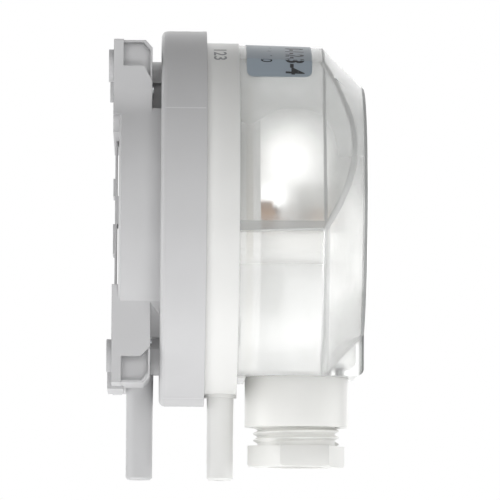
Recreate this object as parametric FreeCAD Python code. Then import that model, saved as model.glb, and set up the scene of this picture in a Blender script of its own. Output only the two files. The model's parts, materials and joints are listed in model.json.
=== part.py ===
"""Differential pressure switch for air, 85 mm across, for a wall, a duct or a panel.

Frame: X points from the wall to the front, Z points up, millimetres.
The origin lies on the housing axis, in the plane of the four rear bosses.
Angles are counted about X, from +Y towards +Z.
"""

import FreeCAD
import Part

import math
import os

V = FreeCAD.Vector
X_AXIS = V(1, 0, 0)
Y_AXIS = V(0, 1, 0)
Z_AXIS = V(0, 0, 1)
ORIGIN = V(0, 0, 0)

# Fits and clearances
FIT = 0.05
RUN = 0.1
GAP = 0.3
OVERCUT = 0.5
FULL_TURN = 360.0
OVERLAP = 2.0

# Rear housing: drum, clamping ring, mounting feet and bosses
BOSS_LENGTH = 1.1
BOSS_R = 3.65
BOSS_HALF_WIDTH = 21.5
BOSS_HALF_HEIGHT = 32.4
PILOT_R = 1.5
PILOT_DEPTH = 7.5
DRUM_REAR_X = 2.5
DRUM_R = 35.6
DRUM_CHAMFER = 0.5
RING_REAR_X = 11.75
RING_R = 42.6
RING_FRONT_X = 21.9
RING_ROUND = 1.3
RING_ROUND_STEPS = 3
FOOT_FRONT_X = 9.7
FOOT_PLATE = 2.2
FOOT_PLATE_RISE = 0.1
FOOT_ROOT_Z = 17.0
FOOT_TIP_CHAMFER_X = 1.5
FOOT_TIP_CHAMFER_Z = 1.7
FOOT_BLEND_R = 10.0
FOOT_STEP_DEPTH = 1.2
FOOT_POCKET_DEPTH = 3.4
FOOT_POCKET_RIM = 0.5
SLOT_FILL_RISE = 2.9
RECESS_HALF_WIDTH = 18.0
FOOT_LIP_REAR_X = 0.15
FOOT_LIP_FRONT_X = 3.8
FOOT_LIP_HALF_WIDTH = 12.0
FOOT_LIP_TIP_Z = 39.3
RAIL_REAR_X = 1.5
RAIL_THICKNESS = 0.5
RAIL_HALF_WIDTH = 6.0
RAIL_PAD_X = 1.1
RAIL_LINK_TOP_Z = 4.6
RAIL_LINK_BOTTOM_Z = -1.8
RAIL_PAD_HALF_HEIGHT = 8.5
CORE_WALL = 2.0
CORE_DEPTH = 8.0
CORE_COUNT = 12
CORE_RIB = 1.8
CORE_STEP = 1.0

# Pressure chambers and diaphragm
CHAMBER_R = 27.2
REAR_CHAMBER_X = 4.8
FRONT_CHAMBER_X = 27.4
BEAD_WALL = 1.0
BEAD_WIDTH = 1.6
BEAD_INNER_R = CHAMBER_R + BEAD_WALL
BEAD_OUTER_R = BEAD_INNER_R + BEAD_WIDTH
BEAD_HALF = 1.0
WEB = 0.6
ROLL_CLEARANCE = 0.6
ROLL_WIDTH = 5.2
ROLL_OUTER_R = CHAMBER_R - ROLL_CLEARANCE
ROLL_INNER_R = ROLL_OUTER_R - ROLL_WIDTH
ROLL_STEPS = 6
PLATE_CLEARANCE = 0.8
PLATE_R = ROLL_INNER_R - PLATE_CLEARANCE
PLATE_THICKNESS = 1.2
PLATE_LIP = 1.0
PLUNGER_R = 1.5
PLUNGER_HEAD_R = 3.2
PLUNGER_HEAD = 0.8
PLUNGER_TIP_X = 36.0
PLUNGER_TRAVEL = 0.5
SHOULDER_R = 2.1

# Hose tubes, one for each chamber
TUBE_ROOT_R = 3.1
TUBE_TIP_R = 3.0
TUBE_TIP_Z = -59.3
TUBE_BORE_R = 1.5
TUBE_BEVEL = 0.5
TUBE_GRIP = 15.0
REAR_TUBE_X = 7.4
FRONT_TUBE_X = 25.65
FRONT_TUBE_COLLAR_R = 3.7
FRONT_TUBE_COLLAR = 0.7

# Front housing: ring, floor and the collar that carries the cover
FRONT_RING_R = 39.95
FLANGE_X = 29.15
COLLAR_X = 33.8
COLLAR_WALL = 1.6
COLLAR_GAP = 0.2
GUIDE_R = 3.0
GUIDE_X = 30.4

# Screws that clamp the two housings
CLAMP_COUNT = 6
CLAMP_R = 1.4
CLAMP_WALL = 0.6
CLAMP_CIRCLE_R = BEAD_OUTER_R + CLAMP_WALL + CLAMP_R
CLAMP_HEAD_R = 2.7
CLAMP_HEAD = 2.4
CLAMP_SEAT_X = 10.0
CLAMP_LENGTH = 16.5

# Clear cover
COVER_REAR_R = 39.5
COVER_SHOULDER_R = 39.05
COVER_SHOULDER_X = 48.1
COVER_EDGE_R = 29.8
COVER_EDGE_X = 57.6
COVER_DOME = 1.2
COVER_DOME_KNEE = 0.75
COVER_WALL = 1.7
COVER_FLAT = 32.5
COVER_FLAT_ANGLE = 26.5
COVER_BOTTOM = 36.0
COVER_BOX_HALF_WIDTH = 13.2
COVER_BOX_ROUND = 1.6
COVER_LIP = 0.8
COVER_LIP_LENGTH = 2.0
LATCH_WIDTH = 8.0
LATCH_LENGTH = 2.9
LATCH_BARB = 0.5
LATCH_BARB_LENGTH = 2 * LATCH_BARB
LATCH_TIP_ROOM = 3.0  # room at the slot's end, in clearances
LATCH_BARB_ROOM = 4.0  # room before the slot's barb, in clearances
FLAT_LATCH_ANGLES = (COVER_FLAT_ANGLE, 180 - COVER_FLAT_ANGLE)
ROUND_LATCH_ANGLES = (225.0, 315.0)
GASKET_REAR_X = 30.6
GASKET_WIDTH = 1.5
GASKET_GROOVE = 1.0

# Cable gland, metric 20 x 1.5, on the bottom of the cover
GLAND_X = 42.9
GLAND_COLLAR_R = 11.7
GLAND_COLLAR_TIP_Z = -47.2
GLAND_THREAD_R = 9.7
GLAND_THREAD_DEPTH = 6.2
GLAND_SPIGOT_R = 7.8
GLAND_SPIGOT = 2.4
GLAND_BORE_R = 6.2
GLAND_GRIP_R = 8.6
GLAND_NOSE_LENGTH = 8.0
GLAND_HEAD_TOP_Z = -51.4
GLAND_HEAD_HEIGHT = 4.8
GLAND_HEAD_FLATS = 19.4
GLAND_HEAD_SIDES = 6
GLAND_HEAD_TURN = 10.0
GLAND_HEAD_CHAMFER = 0.5
GLAND_WASHER = 0.7
SEAL_LENGTH = 3.8
TIE_COUNT = 3
TIE_CIRCLE_R = 9.6
TIE_R = 1.0
TIE_HEAD_R = 1.65
TIE_HEAD = 1.5
TIE_DEPTH = 2.4

# Setting dial, its bridge, spindle, nut and range spring
BRIDGE_X = 50.6
BRIDGE_PLATE = 1.7
BRIDGE_SCREW_R = 1.2
BRIDGE_SCREW_HEAD_R = 2.2
BRIDGE_SCREW_HEAD = 1.5
BRIDGE_SCREW_DEPTH = 2.0
BRIDGE_SCREW_WALL = 0.8
BRIDGE_CIRCLE_R = CHAMBER_R + BRIDGE_SCREW_WALL + BRIDGE_SCREW_R
BRIDGE_FOOT_R = BRIDGE_CIRCLE_R + BRIDGE_SCREW_HEAD_R
BRIDGE_FOOT = 2.4
BRIDGE_LEG_OUT = BRIDGE_CIRCLE_R - BRIDGE_SCREW_HEAD_R - FIT
BRIDGE_LEG_THICKNESS = 2.4
BRIDGE_LEG_WIDTH = 6.0
BRIDGE_LEG_ANGLES = (90.0, 197.0, 343.0)
SLEEVE_R = 6.3
SLEEVE_WALL = 1.3
SLEEVE_END_GAP = 0.7
KEY_WIDTH = 2.0
KEY_HEIGHT = 0.9
NUT_THICKNESS = 3.0
NUT_TRAVEL = 4.0
SPINDLE_R = 2.0
SPINDLE_FLANGE_R = 3.4
SPINDLE_FLANGE = 1.0
DIAL_R = 15.0
DIAL_THICKNESS = 1.6
KNOB_R = 6.0
KNOB_HEIGHT = 2.0
KNOB_SLOT = 1.2
KNOB_SLOT_DEPTH = 1.2
SEAT_R = 3.9
SEAT_X = 34.0
SEAT_THICKNESS = 3.3
SEAT_PILOT_R = 2.3
SEAT_PILOT = 1.4
SPRING_R = 2.85
SPRING_WIRE_R = 0.25
SPRING_TURNS = 6
SPRING_STEPS = 12
WIRE_SIDES = 6

# Contact lever, its carrier and the fixed contacts
LEVER_X = 32.2
LEVER_THICKNESS = 0.4
LEVER_WIDTH = 5.0
PIVOT_Z = 13.0
PIVOT_R = 0.8
CONTACT_Z = -7.0
CONTACT_R = 1.1
CONTACT_HEIGHT = 0.5
CONTACT_CLEARANCE = 0.06
POST_WALL = 1.4
POST_DEPTH = 3.0
CARRIER_THICKNESS = 1.0
STRIP_THICKNESS = 0.5
STRIP_WIDTH = 4.0

# Terminal block with three clamps
BLOCK_FRONT_X = 40.0
BLOCK_SIDE = 2.0
BLOCK_TOP_Z = -10.6
BLOCK_BOTTOM_Z = -24.0
BLOCK_CHAMFER = 1.0
TERMINAL_PITCH = 9.0
TERMINAL_COUNT = 3
POCKET_WIDTH = 6.6
POCKET_WALL = 1.6
CLAMP_BODY = 6.0
BLOCK_HALF_WIDTH = (TERMINAL_COUNT - 1) / 2 * TERMINAL_PITCH + CLAMP_BODY / 2 + BLOCK_SIDE
CLAMP_WAY = CLAMP_BODY / 3
WIRE_R = 1.4
TERMINAL_SCREW_R = 1.25
TERMINAL_SCREW_HEAD_R = 2.1
TERMINAL_SCREW_HEAD = 1.6
SLOT_FLOOR = TERMINAL_SCREW_HEAD / 2
SLOT_FRONT = TERMINAL_SCREW_HEAD + OVERCUT
SLOT_REACH = TERMINAL_SCREW_HEAD_R + OVERCUT
TERMINAL_SCREW_LENGTH = 5.0

# Range label on the cover
LABEL_REAR_X = 30.8
LABEL_FRONT_X = 45.4
LABEL_LOW_Z = 30.3
LABEL_FAR_Y = 8.0
LABEL_ROUND = 1.5
LABEL_THICKNESS = 0.15


class Foot:
    """Sizes in which the two mounting feet differ, each as if it stood at the top."""

    def __init__(self, half_width, tip_z, pocket_z, slope_x, slope_z, fill_z, recess_low_z, recess_high_z):
        self.half_width = half_width
        self.tip_z = tip_z
        self.pocket_z = pocket_z
        self.slope_x = slope_x
        self.slope_z = slope_z
        self.fill_z = fill_z
        self.recess_low_z = recess_low_z
        self.recess_high_z = recess_high_z


TOP_FOOT = Foot(
    half_width=27.0, tip_z=37.7, pocket_z=31.9, slope_x=1.8, slope_z=3.4,
    fill_z=19.4, recess_low_z=22.3, recess_high_z=28.7,
)
BOTTOM_FOOT = Foot(
    half_width=29.0, tip_z=38.6, pocket_z=32.8, slope_x=2.1, slope_z=2.1,
    fill_z=21.0, recess_low_z=28.2, recess_high_z=31.3,
)


def x_cylinder(radius, x0, x1, y=0.0, z=0.0):
    """Cylinder along X."""
    return Part.makeCylinder(radius, x1 - x0, V(x0, y, z), X_AXIS)


def y_cylinder(radius, half, x, z):
    """Cylinder along Y, the same length to both sides of the middle."""
    return Part.makeCylinder(radius, half * 2, V(x, -half, z), Y_AXIS)


def z_cylinder(radius, z0, z1, x, y=0.0):
    """Cylinder along Z."""
    return Part.makeCylinder(radius, z1 - z0, V(x, y, z0), Z_AXIS)


def block(x0, x1, y0, y1, z0, z1):
    """Box between two corners."""
    return Part.makeBox(x1 - x0, y1 - y0, z1 - z0, V(x0, y0, z0))


def revolved(points):
    """Solid turned about X from the corners (x, radius) of its half section."""
    corners = [V(x, 0, r) for x, r in points]
    return Part.Face(Part.makePolygon(corners + corners[:1])).revolve(ORIGIN, X_AXIS, 360)


def facet_tube(sections):
    """Solid of flat triangles between corner loops, closed at both ends."""
    faces = [Part.Face(Part.makePolygon(loop + loop[:1])) for loop in (sections[0], sections[-1])]
    for near, far in zip(sections, sections[1:]):
        for j in range(len(near)):
            k = (j + 1) % len(near)
            for corners in ((near[j], near[k], far[k]), (near[j], far[k], far[j])):
                faces.append(Part.Face(Part.makePolygon(corners + corners[:1])))
    shell = Part.Shell(faces)
    shell.sewShape()
    solid = Part.Solid(shell)
    return solid if solid.Volume > 0 else solid.reversed()


def prism_along_y(points, y0, y1):
    """Prism from an outline of (x, z) points."""
    corners = [V(x, y0, z) for x, z in points]
    return Part.Face(Part.makePolygon(corners + corners[:1])).extrude(V(0, y1 - y0, 0))


def prism_along_x(edges, x0, x1):
    """Prism from closed edges that lie in the plane X = 0."""
    face = Part.Face(Part.Wire(edges))
    face.translate(V(x0, 0, 0))
    return face.extrude(V(x1 - x0, 0, 0))


def turned(shape, angle, axis=X_AXIS, centre=ORIGIN):
    """Copy turned about an axis."""
    copy = shape.copy()
    copy.rotate(centre, axis, angle)
    return copy


def ring_of(shape, count, start=0.0):
    """Copies evenly spaced about X."""
    return [turned(shape, start + FULL_TURN * k / count) for k in range(count)]


def one_solid(shape):
    """The single solid of a finished boolean."""
    clean = shape.removeSplitter()
    return clean.Solids[0] if len(clean.Solids) == 1 else clean


def cover_section(radius, flat, bottom, x0, x1):
    """Round bar with the two side flats and the bottom flat of the cover."""
    bar = x_cylinder(radius, x0, x1)
    side = block(x0 - OVERCUT, x1 + OVERCUT, flat, flat + radius, -radius * 2, radius * 2)
    below = block(x0 - OVERCUT, x1 + OVERCUT, -radius, radius, -radius * 2, -bottom)
    return bar.cut([turned(side, COVER_FLAT_ANGLE), turned(side, 180 - COVER_FLAT_ANGLE), below])


def cover_form(inset, rear_x):
    """Outer form of the cover, moved inward by inset."""
    slope = (COVER_SHOULDER_R - COVER_EDGE_R) / (COVER_EDGE_X - COVER_SHOULDER_X)
    shoulder_x = COVER_SHOULDER_X - inset * math.tan(math.atan(slope) / 2)
    shoulder_r = COVER_SHOULDER_R - inset
    edge_x = COVER_EDGE_X - inset
    edge_r = shoulder_r - (edge_x - shoulder_x) * slope
    round_body = revolved([
        (rear_x, 0),
        (rear_x, COVER_REAR_R - inset),
        (shoulder_x, shoulder_r),
        (edge_x, edge_r),
        (edge_x + COVER_DOME * COVER_DOME_KNEE, edge_r / 2),
        (edge_x + COVER_DOME, 0),
    ])
    bottom_z = inset - COVER_BOTTOM
    width = COVER_BOX_HALF_WIDTH - inset
    gland_box = block(rear_x, edge_x, -width, width, bottom_z, 0)
    front_edge = [
        e for e in gland_box.Edges
        if e.BoundBox.XMin > edge_x - FIT and e.BoundBox.ZMax < bottom_z + FIT
    ]
    gland_box = gland_box.makeFillet(COVER_BOX_ROUND, front_edge)
    body = round_body.fuse(gland_box)
    reach = COVER_REAR_R * 2
    side = block(0, reach, COVER_FLAT - inset, reach, -reach, reach)
    below = block(0, reach, -reach, reach, -reach, bottom_z)
    return body.cut([turned(side, COVER_FLAT_ANGLE), turned(side, 180 - COVER_FLAT_ANGLE), below])


def foot_outline(foot):
    """Side outline of a mounting foot, as (x, z) points."""
    plate_z = foot.tip_z + FOOT_PLATE_RISE
    return [
        (BOSS_LENGTH, FOOT_ROOT_Z),
        (FOOT_FRONT_X, FOOT_ROOT_Z),
        (FOOT_FRONT_X, foot.tip_z - FOOT_TIP_CHAMFER_Z),
        (FOOT_FRONT_X - FOOT_TIP_CHAMFER_X, foot.tip_z),
        (BOSS_LENGTH + FOOT_PLATE, foot.tip_z),
        (BOSS_LENGTH + FOOT_PLATE, plate_z),
        (BOSS_LENGTH, plate_z),
    ]


def foot_pocket(foot):
    """Outline of a foot's side pocket, inside its rim."""
    rear = BOSS_LENGTH + FOOT_PLATE
    front = FOOT_FRONT_X - FOOT_POCKET_RIM
    top = foot.tip_z - FOOT_POCKET_RIM
    knee = FOOT_FRONT_X - foot.slope_x
    return [
        (rear, foot.pocket_z),
        (knee, foot.pocket_z),
        (front, foot.pocket_z - foot.slope_z * (front - knee) / foot.slope_x),
        (front, top - FOOT_TIP_CHAMFER_Z),
        (front - FOOT_TIP_CHAMFER_X, top),
        (rear, top),
    ]


def foot_step(foot):
    """Outline of the step that sets the pocket's rim back from the side face."""
    rear = BOSS_LENGTH + FOOT_PLATE
    front = FOOT_FRONT_X + OVERCUT
    top = foot.tip_z + OVERCUT
    return [
        (rear, foot.pocket_z),
        (FOOT_FRONT_X - foot.slope_x, foot.pocket_z),
        (FOOT_FRONT_X, foot.pocket_z - foot.slope_z),
        (front, foot.pocket_z - foot.slope_z),
        (front, top),
        (rear, top),
    ]


def blend_edges(half_width, side):
    """Closed outline of the hollow blend between a foot's side face and the drum."""
    reach = DRUM_R + FOOT_BLEND_R
    centre_y = half_width + FOOT_BLEND_R
    centre_z = math.sqrt(reach**2 - centre_y**2)
    on_drum_y = centre_y * DRUM_R / reach
    on_drum_z = centre_z * DRUM_R / reach
    turn_in = math.atan2(on_drum_z - centre_z, on_drum_y - centre_y)
    middle_angle = (turn_in - math.pi) / 2 if turn_in < 0 else (turn_in + math.pi) / 2
    middle_y = centre_y + FOOT_BLEND_R * math.cos(middle_angle)
    middle_z = centre_z + FOOT_BLEND_R * math.sin(middle_angle)
    inner_y = half_width / 2
    start = V(0, side * half_width, centre_z)
    middle = V(0, side * middle_y, middle_z)
    end = V(0, side * on_drum_y, on_drum_z)
    low = V(0, side * inner_y, on_drum_z)
    high = V(0, side * inner_y, centre_z)
    return [
        Part.Arc(start, middle, end).toShape(),
        Part.makeLine(end, low),
        Part.makeLine(low, high),
        Part.makeLine(high, start),
    ]


def slot_fill(foot):
    """Outline of the wall that closes the slot between foot and ring, sloped at its end."""
    return [
        (FOOT_FRONT_X, FOOT_ROOT_Z),
        (RING_REAR_X, FOOT_ROOT_Z),
        (RING_REAR_X, foot.fill_z + SLOT_FILL_RISE),
        (FOOT_FRONT_X, foot.fill_z),
    ]


def upper_foot(foot, blended):
    """A mounting foot in the upper position, with stepped side pockets, slot end and blends."""
    width = foot.half_width
    body = prism_along_y(foot_outline(foot), -width, width)
    slab = block(FOOT_FRONT_X, RING_REAR_X, -width, width, FOOT_ROOT_Z, foot.tip_z)
    for side in (-1, 1):
        if blended:
            edges = blend_edges(width, side)
            body = body.fuse(prism_along_x(edges, BOSS_LENGTH, FOOT_FRONT_X))
            slab = slab.fuse(prism_along_x(edges, FOOT_FRONT_X, RING_REAR_X))
        for outline, depth in ((foot_step, FOOT_STEP_DEPTH), (foot_pocket, FOOT_POCKET_DEPTH)):
            near, far = sorted((side * (width - depth), side * (width + OVERCUT)))
            body = body.cut(prism_along_y(outline(foot), near, far))
    return body.fuse(slab.common(prism_along_y(slot_fill(foot), -DRUM_R, DRUM_R)))


def drum_recesses(foot):
    """Cuts that deepen the slot at both ends of a foot in the upper position."""
    cuts = []
    for side in (-1, 1):
        near, far = sorted((side * RECESS_HALF_WIDTH, side * DRUM_R))
        cuts.append(block(FOOT_FRONT_X, RING_REAR_X, near, far, foot.recess_low_z, foot.recess_high_z))
    return cuts


def rear_rail():
    """Narrow rail on the rear, carried by the feet and a link in the middle."""
    rail_front = RAIL_REAR_X + RAIL_THICKNESS
    width = RAIL_HALF_WIDTH
    reach = FOOT_ROOT_Z + OVERLAP / 2
    rail = block(RAIL_REAR_X, rail_front, -width, width, -reach, reach)
    link = block(RAIL_REAR_X, DRUM_REAR_X, -width, width, RAIL_LINK_BOTTOM_Z, RAIL_LINK_TOP_Z)
    upper = block(RAIL_PAD_X, rail_front, -width, width, RAIL_LINK_TOP_Z, RAIL_PAD_HALF_HEIGHT)
    lower = block(RAIL_PAD_X, rail_front, -width, width, -RAIL_PAD_HALF_HEIGHT, RAIL_LINK_BOTTOM_Z)
    return rail.fuse([link, upper, lower])


def hose_tube(x, root_z):
    """Hose tube that points down: a drafted root, then a straight grip with a bevelled end."""
    grip_z = TUBE_TIP_Z + TUBE_GRIP
    grip = z_cylinder(TUBE_TIP_R, TUBE_TIP_Z, grip_z, x)
    tip = [e for e in grip.Edges if e.BoundBox.ZMax < TUBE_TIP_Z + FIT]
    root = Part.makeCone(TUBE_TIP_R, TUBE_ROOT_R, root_z - grip_z, V(x, 0, grip_z), Z_AXIS)
    return grip.makeChamfer(TUBE_BEVEL, tip).fuse(root)


def tube_bore(x):
    """Bore of a hose tube, from its end into the chamber."""
    return z_cylinder(TUBE_BORE_R, TUBE_TIP_Z - OVERCUT, -CHAMBER_R + OVERLAP / 2, x)


def core_pockets(inner_r, outer_r, x0, x1):
    """Lightening pockets of a moulded ring, between radial ribs."""
    hollow = x_cylinder(outer_r, x0, x1).cut(x_cylinder(inner_r, x0, x1))
    rib = block(x0 - OVERCUT, x1 + OVERCUT, 0, outer_r + OVERLAP, -CORE_RIB / 2, CORE_RIB / 2)
    return hollow.cut(ring_of(rib, CORE_COUNT, 180.0 / CORE_COUNT))


def clamping_ring():
    """Solid ring of the rear housing, its rear edge rounded in short straight runs."""
    points = [(RING_REAR_X, 0), (RING_FRONT_X, 0), (RING_FRONT_X, RING_R)]
    for step in range(RING_ROUND_STEPS + 1):
        angle = math.pi / 2 * step / RING_ROUND_STEPS
        back = RING_ROUND * (1 - math.sin(angle))
        drop = RING_ROUND * (1 - math.cos(angle))
        points.append((RING_REAR_X + back, RING_R - drop))
    return revolved(points)


def rear_housing():
    """Rear moulding: drum, clamping ring, feet, bosses, rear chamber and rear hose tube."""
    drum = x_cylinder(DRUM_R, DRUM_REAR_X, RING_REAR_X)
    rear_edges = [e for e in drum.Edges if e.BoundBox.XMax < DRUM_REAR_X + FIT]
    drum = drum.makeChamfer(DRUM_CHAMFER, rear_edges)
    ring = clamping_ring()
    pocket_front = RING_REAR_X + CORE_DEPTH
    pocket_rear = RING_REAR_X - OVERCUT
    ring = ring.cut(core_pockets(DRUM_R + CORE_STEP, RING_R - CORE_WALL, pocket_rear, pocket_front))
    top_foot = upper_foot(TOP_FOOT, True)
    bottom_foot = turned(upper_foot(BOTTOM_FOOT, False), 180)
    width = FOOT_LIP_HALF_WIDTH
    lip_top_z = -BOTTOM_FOOT.pocket_z
    lip = block(FOOT_LIP_REAR_X, FOOT_LIP_FRONT_X, -width, width, -FOOT_LIP_TIP_Z, lip_top_z)
    tube = hose_tube(REAR_TUBE_X, -DRUM_R + OVERLAP)
    body = drum.fuse([ring, top_foot, bottom_foot, lip, rear_rail(), tube])
    cuts = [
        x_cylinder(CHAMBER_R, REAR_CHAMBER_X, RING_FRONT_X + OVERCUT),
        x_cylinder(BEAD_OUTER_R, RING_FRONT_X - WEB, RING_FRONT_X + OVERCUT),
        bead_ring(RING_FRONT_X - BEAD_HALF, RING_FRONT_X),
        tube_bore(REAR_TUBE_X),
    ]
    clamp_hole = x_cylinder(CLAMP_R + FIT, CLAMP_SEAT_X, RING_FRONT_X + OVERCUT, CLAMP_CIRCLE_R)
    clamp_way = x_cylinder(CLAMP_HEAD_R + GAP, 0, CLAMP_SEAT_X, CLAMP_CIRCLE_R)
    cuts += ring_of(clamp_hole.fuse(clamp_way), CLAMP_COUNT)
    cuts += drum_recesses(TOP_FOOT)
    cuts += [turned(recess, 180) for recess in drum_recesses(BOTTOM_FOOT)]
    body = body.cut(cuts)
    for y in (-BOSS_HALF_WIDTH, BOSS_HALF_WIDTH):
        for z in (-BOSS_HALF_HEIGHT, BOSS_HALF_HEIGHT):
            body = body.fuse(x_cylinder(BOSS_R, 0, BOSS_LENGTH, y, z))
            body = body.cut(x_cylinder(PILOT_R, -OVERCUT, PILOT_DEPTH, y, z))
    return one_solid(body)


def bead_ring(x0, x1):
    """Ring of the diaphragm's bead, also the groove that it lies in."""
    return x_cylinder(BEAD_OUTER_R, x0, x1).cut(x_cylinder(BEAD_INNER_R, x0, x1))


def latch(clearance):
    """Latch tongue of the cover, built at +Y, or its slot when clearance is more than zero."""
    half = LATCH_WIDTH / 2 + clearance
    tip_x = FLANGE_X - LATCH_LENGTH - clearance * LATCH_TIP_ROOM
    barb_x = tip_x + LATCH_BARB_LENGTH + clearance * LATCH_BARB_ROOM
    inner = -COVER_WALL - clearance
    outer = clearance
    points = [
        (FLANGE_X + OVERCUT, inner),
        (FLANGE_X + OVERCUT, outer),
        (tip_x, outer),
        (tip_x, inner),
        (tip_x + LATCH_BARB, inner - LATCH_BARB),
        (barb_x, inner - LATCH_BARB),
        (barb_x, inner),
    ]
    corners = [V(x, y, -half) for x, y in points]
    return Part.Face(Part.makePolygon(corners + corners[:1])).extrude(V(0, 0, half * 2))


def latches(clearance):
    """The latches, or their slots, at their places round the cover."""
    placed = []
    for angle in FLAT_LATCH_ANGLES + ROUND_LATCH_ANGLES:
        distance = COVER_FLAT if angle in FLAT_LATCH_ANGLES else COVER_REAR_R - COVER_WALL / 2
        tongue = latch(clearance)
        tongue.translate(V(0, distance, 0))
        placed.append(turned(tongue, angle))
    return placed


def front_housing():
    """Front moulding: ring, front chamber, floor with plunger guide, cover collar, front hose tube."""
    ring = x_cylinder(FRONT_RING_R, RING_FRONT_X, FLANGE_X)
    inset = COVER_WALL + COLLAR_GAP
    outer = cover_section(
        COVER_REAR_R - inset, COVER_FLAT - inset, COVER_BOTTOM - inset, FLANGE_X, COLLAR_X
    )
    deep = inset + COLLAR_WALL
    inner = cover_section(
        COVER_REAR_R - deep, COVER_FLAT - deep, COVER_BOTTOM - deep, FLANGE_X, COLLAR_X + OVERCUT
    )
    groove = gasket_ring(0)
    collar = outer.cut([inner, groove])
    guide = x_cylinder(GUIDE_R, FLANGE_X, GUIDE_X)
    tube_collar = z_cylinder(
        FRONT_TUBE_COLLAR_R, -FRONT_RING_R - FRONT_TUBE_COLLAR, -FRONT_RING_R + OVERLAP, FRONT_TUBE_X
    )
    tube = hose_tube(FRONT_TUBE_X, -FRONT_RING_R + OVERLAP)
    body = ring.fuse([collar, guide, tube_collar, tube])
    cuts = [
        x_cylinder(CHAMBER_R, RING_FRONT_X - OVERCUT, FRONT_CHAMBER_X),
        bead_ring(RING_FRONT_X - OVERCUT, RING_FRONT_X + BEAD_HALF),
        x_cylinder(PLUNGER_R + RUN, FRONT_CHAMBER_X - OVERCUT, GUIDE_X + OVERCUT),
        tube_bore(FRONT_TUBE_X),
    ]
    clamp_end = CLAMP_SEAT_X + CLAMP_LENGTH + GAP
    clamp_hole = x_cylinder(CLAMP_R + FIT, RING_FRONT_X - OVERCUT, clamp_end, CLAMP_CIRCLE_R)
    cuts += ring_of(clamp_hole, CLAMP_COUNT)
    cuts += latches(RUN)
    hole_rear = FLANGE_X - BRIDGE_SCREW_DEPTH + FIT
    hole = x_cylinder(BRIDGE_SCREW_R + FIT, hole_rear, FLANGE_X + FIT, BRIDGE_CIRCLE_R)
    cuts += [turned(hole, angle) for angle in BRIDGE_LEG_ANGLES]
    return one_solid(body.cut(cuts))


def gasket_ring(squeeze):
    """Ring between the collar and the cover; squeeze is the gap left in front of the groove's floor."""
    outer_inset = COVER_WALL + RUN
    inner_inset = COVER_WALL + COLLAR_GAP + GASKET_GROOVE - squeeze
    front = GASKET_REAR_X + GASKET_WIDTH
    outer = cover_section(
        COVER_REAR_R - outer_inset, COVER_FLAT - outer_inset, COVER_BOTTOM - outer_inset, GASKET_REAR_X, front
    )
    inner = cover_section(
        COVER_REAR_R - inner_inset, COVER_FLAT - inner_inset, COVER_BOTTOM - inner_inset, GASKET_REAR_X, front
    )
    return outer.cut(inner)


def cover_gasket():
    """Soft ring that seals the cover on the collar."""
    return one_solid(gasket_ring(FIT))


def clear_cover():
    """Clear cover: a shell with two side flats, a gland box, a rear lip and four latches."""
    shell = cover_form(0, FLANGE_X).cut(cover_form(COVER_WALL, FLANGE_X - OVERCUT))
    width = COVER_BOX_HALF_WIDTH
    lip_z = -COVER_BOTTOM
    lip = block(FLANGE_X, FLANGE_X + COVER_LIP_LENGTH, -width, width, lip_z - COVER_LIP, lip_z)
    tongues = [tongue.common(x_cylinder(COVER_REAR_R, 0, FLANGE_X + OVERCUT)) for tongue in latches(0)]
    body = shell.fuse([lip] + tongues)
    low = lip_z - OVERCUT
    high = lip_z + COVER_WALL + OVERCUT
    cuts = [z_cylinder(GLAND_SPIGOT_R + FIT, low, high, GLAND_X)]
    cuts += [z_cylinder(TIE_R + FIT, low, high, x, y) for x, y in tie_places()]
    return one_solid(body.cut(cuts))


def range_label():
    """Thin label that wraps from the round top of the cover over the near flat."""
    sheet = cover_form(-LABEL_THICKNESS, LABEL_REAR_X).cut(cover_form(0, LABEL_REAR_X - OVERCUT))
    reach = COVER_REAR_R + OVERLAP / 2
    window = block(LABEL_REAR_X, LABEL_FRONT_X, -reach, LABEL_FAR_Y, LABEL_LOW_Z, reach)
    corners = [
        e for e in window.Edges
        if e.BoundBox.ZMax < LABEL_LOW_Z + FIT and e.BoundBox.YLength > reach
    ]
    return one_solid(sheet.common(window.makeFillet(LABEL_ROUND, corners)))


def half_ring(x, centre_r, radius):
    """Points (x, radius) of a half circle in front of x, in straight runs."""
    angles = [math.pi * step / ROLL_STEPS for step in range(ROLL_STEPS + 1)]
    return [(x + radius * math.sin(a), centre_r + radius * math.cos(a)) for a in angles]


def diaphragm():
    """Silicone diaphragm: flat centre, one roll, clamped rim with a bead."""
    front = RING_FRONT_X
    rear = RING_FRONT_X - WEB
    roll_r = (ROLL_OUTER_R - ROLL_INNER_R) / 2
    middle_r = (ROLL_OUTER_R + ROLL_INNER_R) / 2
    hole = PLUNGER_R + FIT
    disc = x_cylinder(BEAD_OUTER_R, rear, front).cut(x_cylinder(hole, rear, front))
    opening = x_cylinder(ROLL_OUTER_R, rear, front).cut(x_cylinder(ROLL_INNER_R, rear, front))
    crest = half_ring(rear, middle_r, roll_r + WEB / 2)
    valley = half_ring(rear, middle_r, roll_r - WEB / 2)
    roll = revolved(crest + valley[::-1])
    bead = bead_ring(front - BEAD_HALF, front + BEAD_HALF)
    return one_solid(disc.cut(opening).fuse([roll, bead]))


def diaphragm_plate(facing):
    """Round support plate with a stiffening lip; facing is -1 behind the diaphragm, 1 in front."""
    seat = RING_FRONT_X if facing > 0 else RING_FRONT_X - WEB
    far = seat + facing * PLATE_THICKNESS
    tip = far + facing * PLATE_LIP
    points = [
        (seat, PLUNGER_R + FIT),
        (seat, PLATE_R),
        (tip, PLATE_R),
        (tip, PLATE_R - PLATE_THICKNESS),
        (far, PLATE_R - PLATE_THICKNESS),
        (far, PLUNGER_R + FIT),
    ]
    return one_solid(revolved(points))


def plunger_x():
    """Rear face of the plunger's head, behind the rear plate."""
    return RING_FRONT_X - WEB - PLATE_THICKNESS - PLUNGER_HEAD


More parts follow.
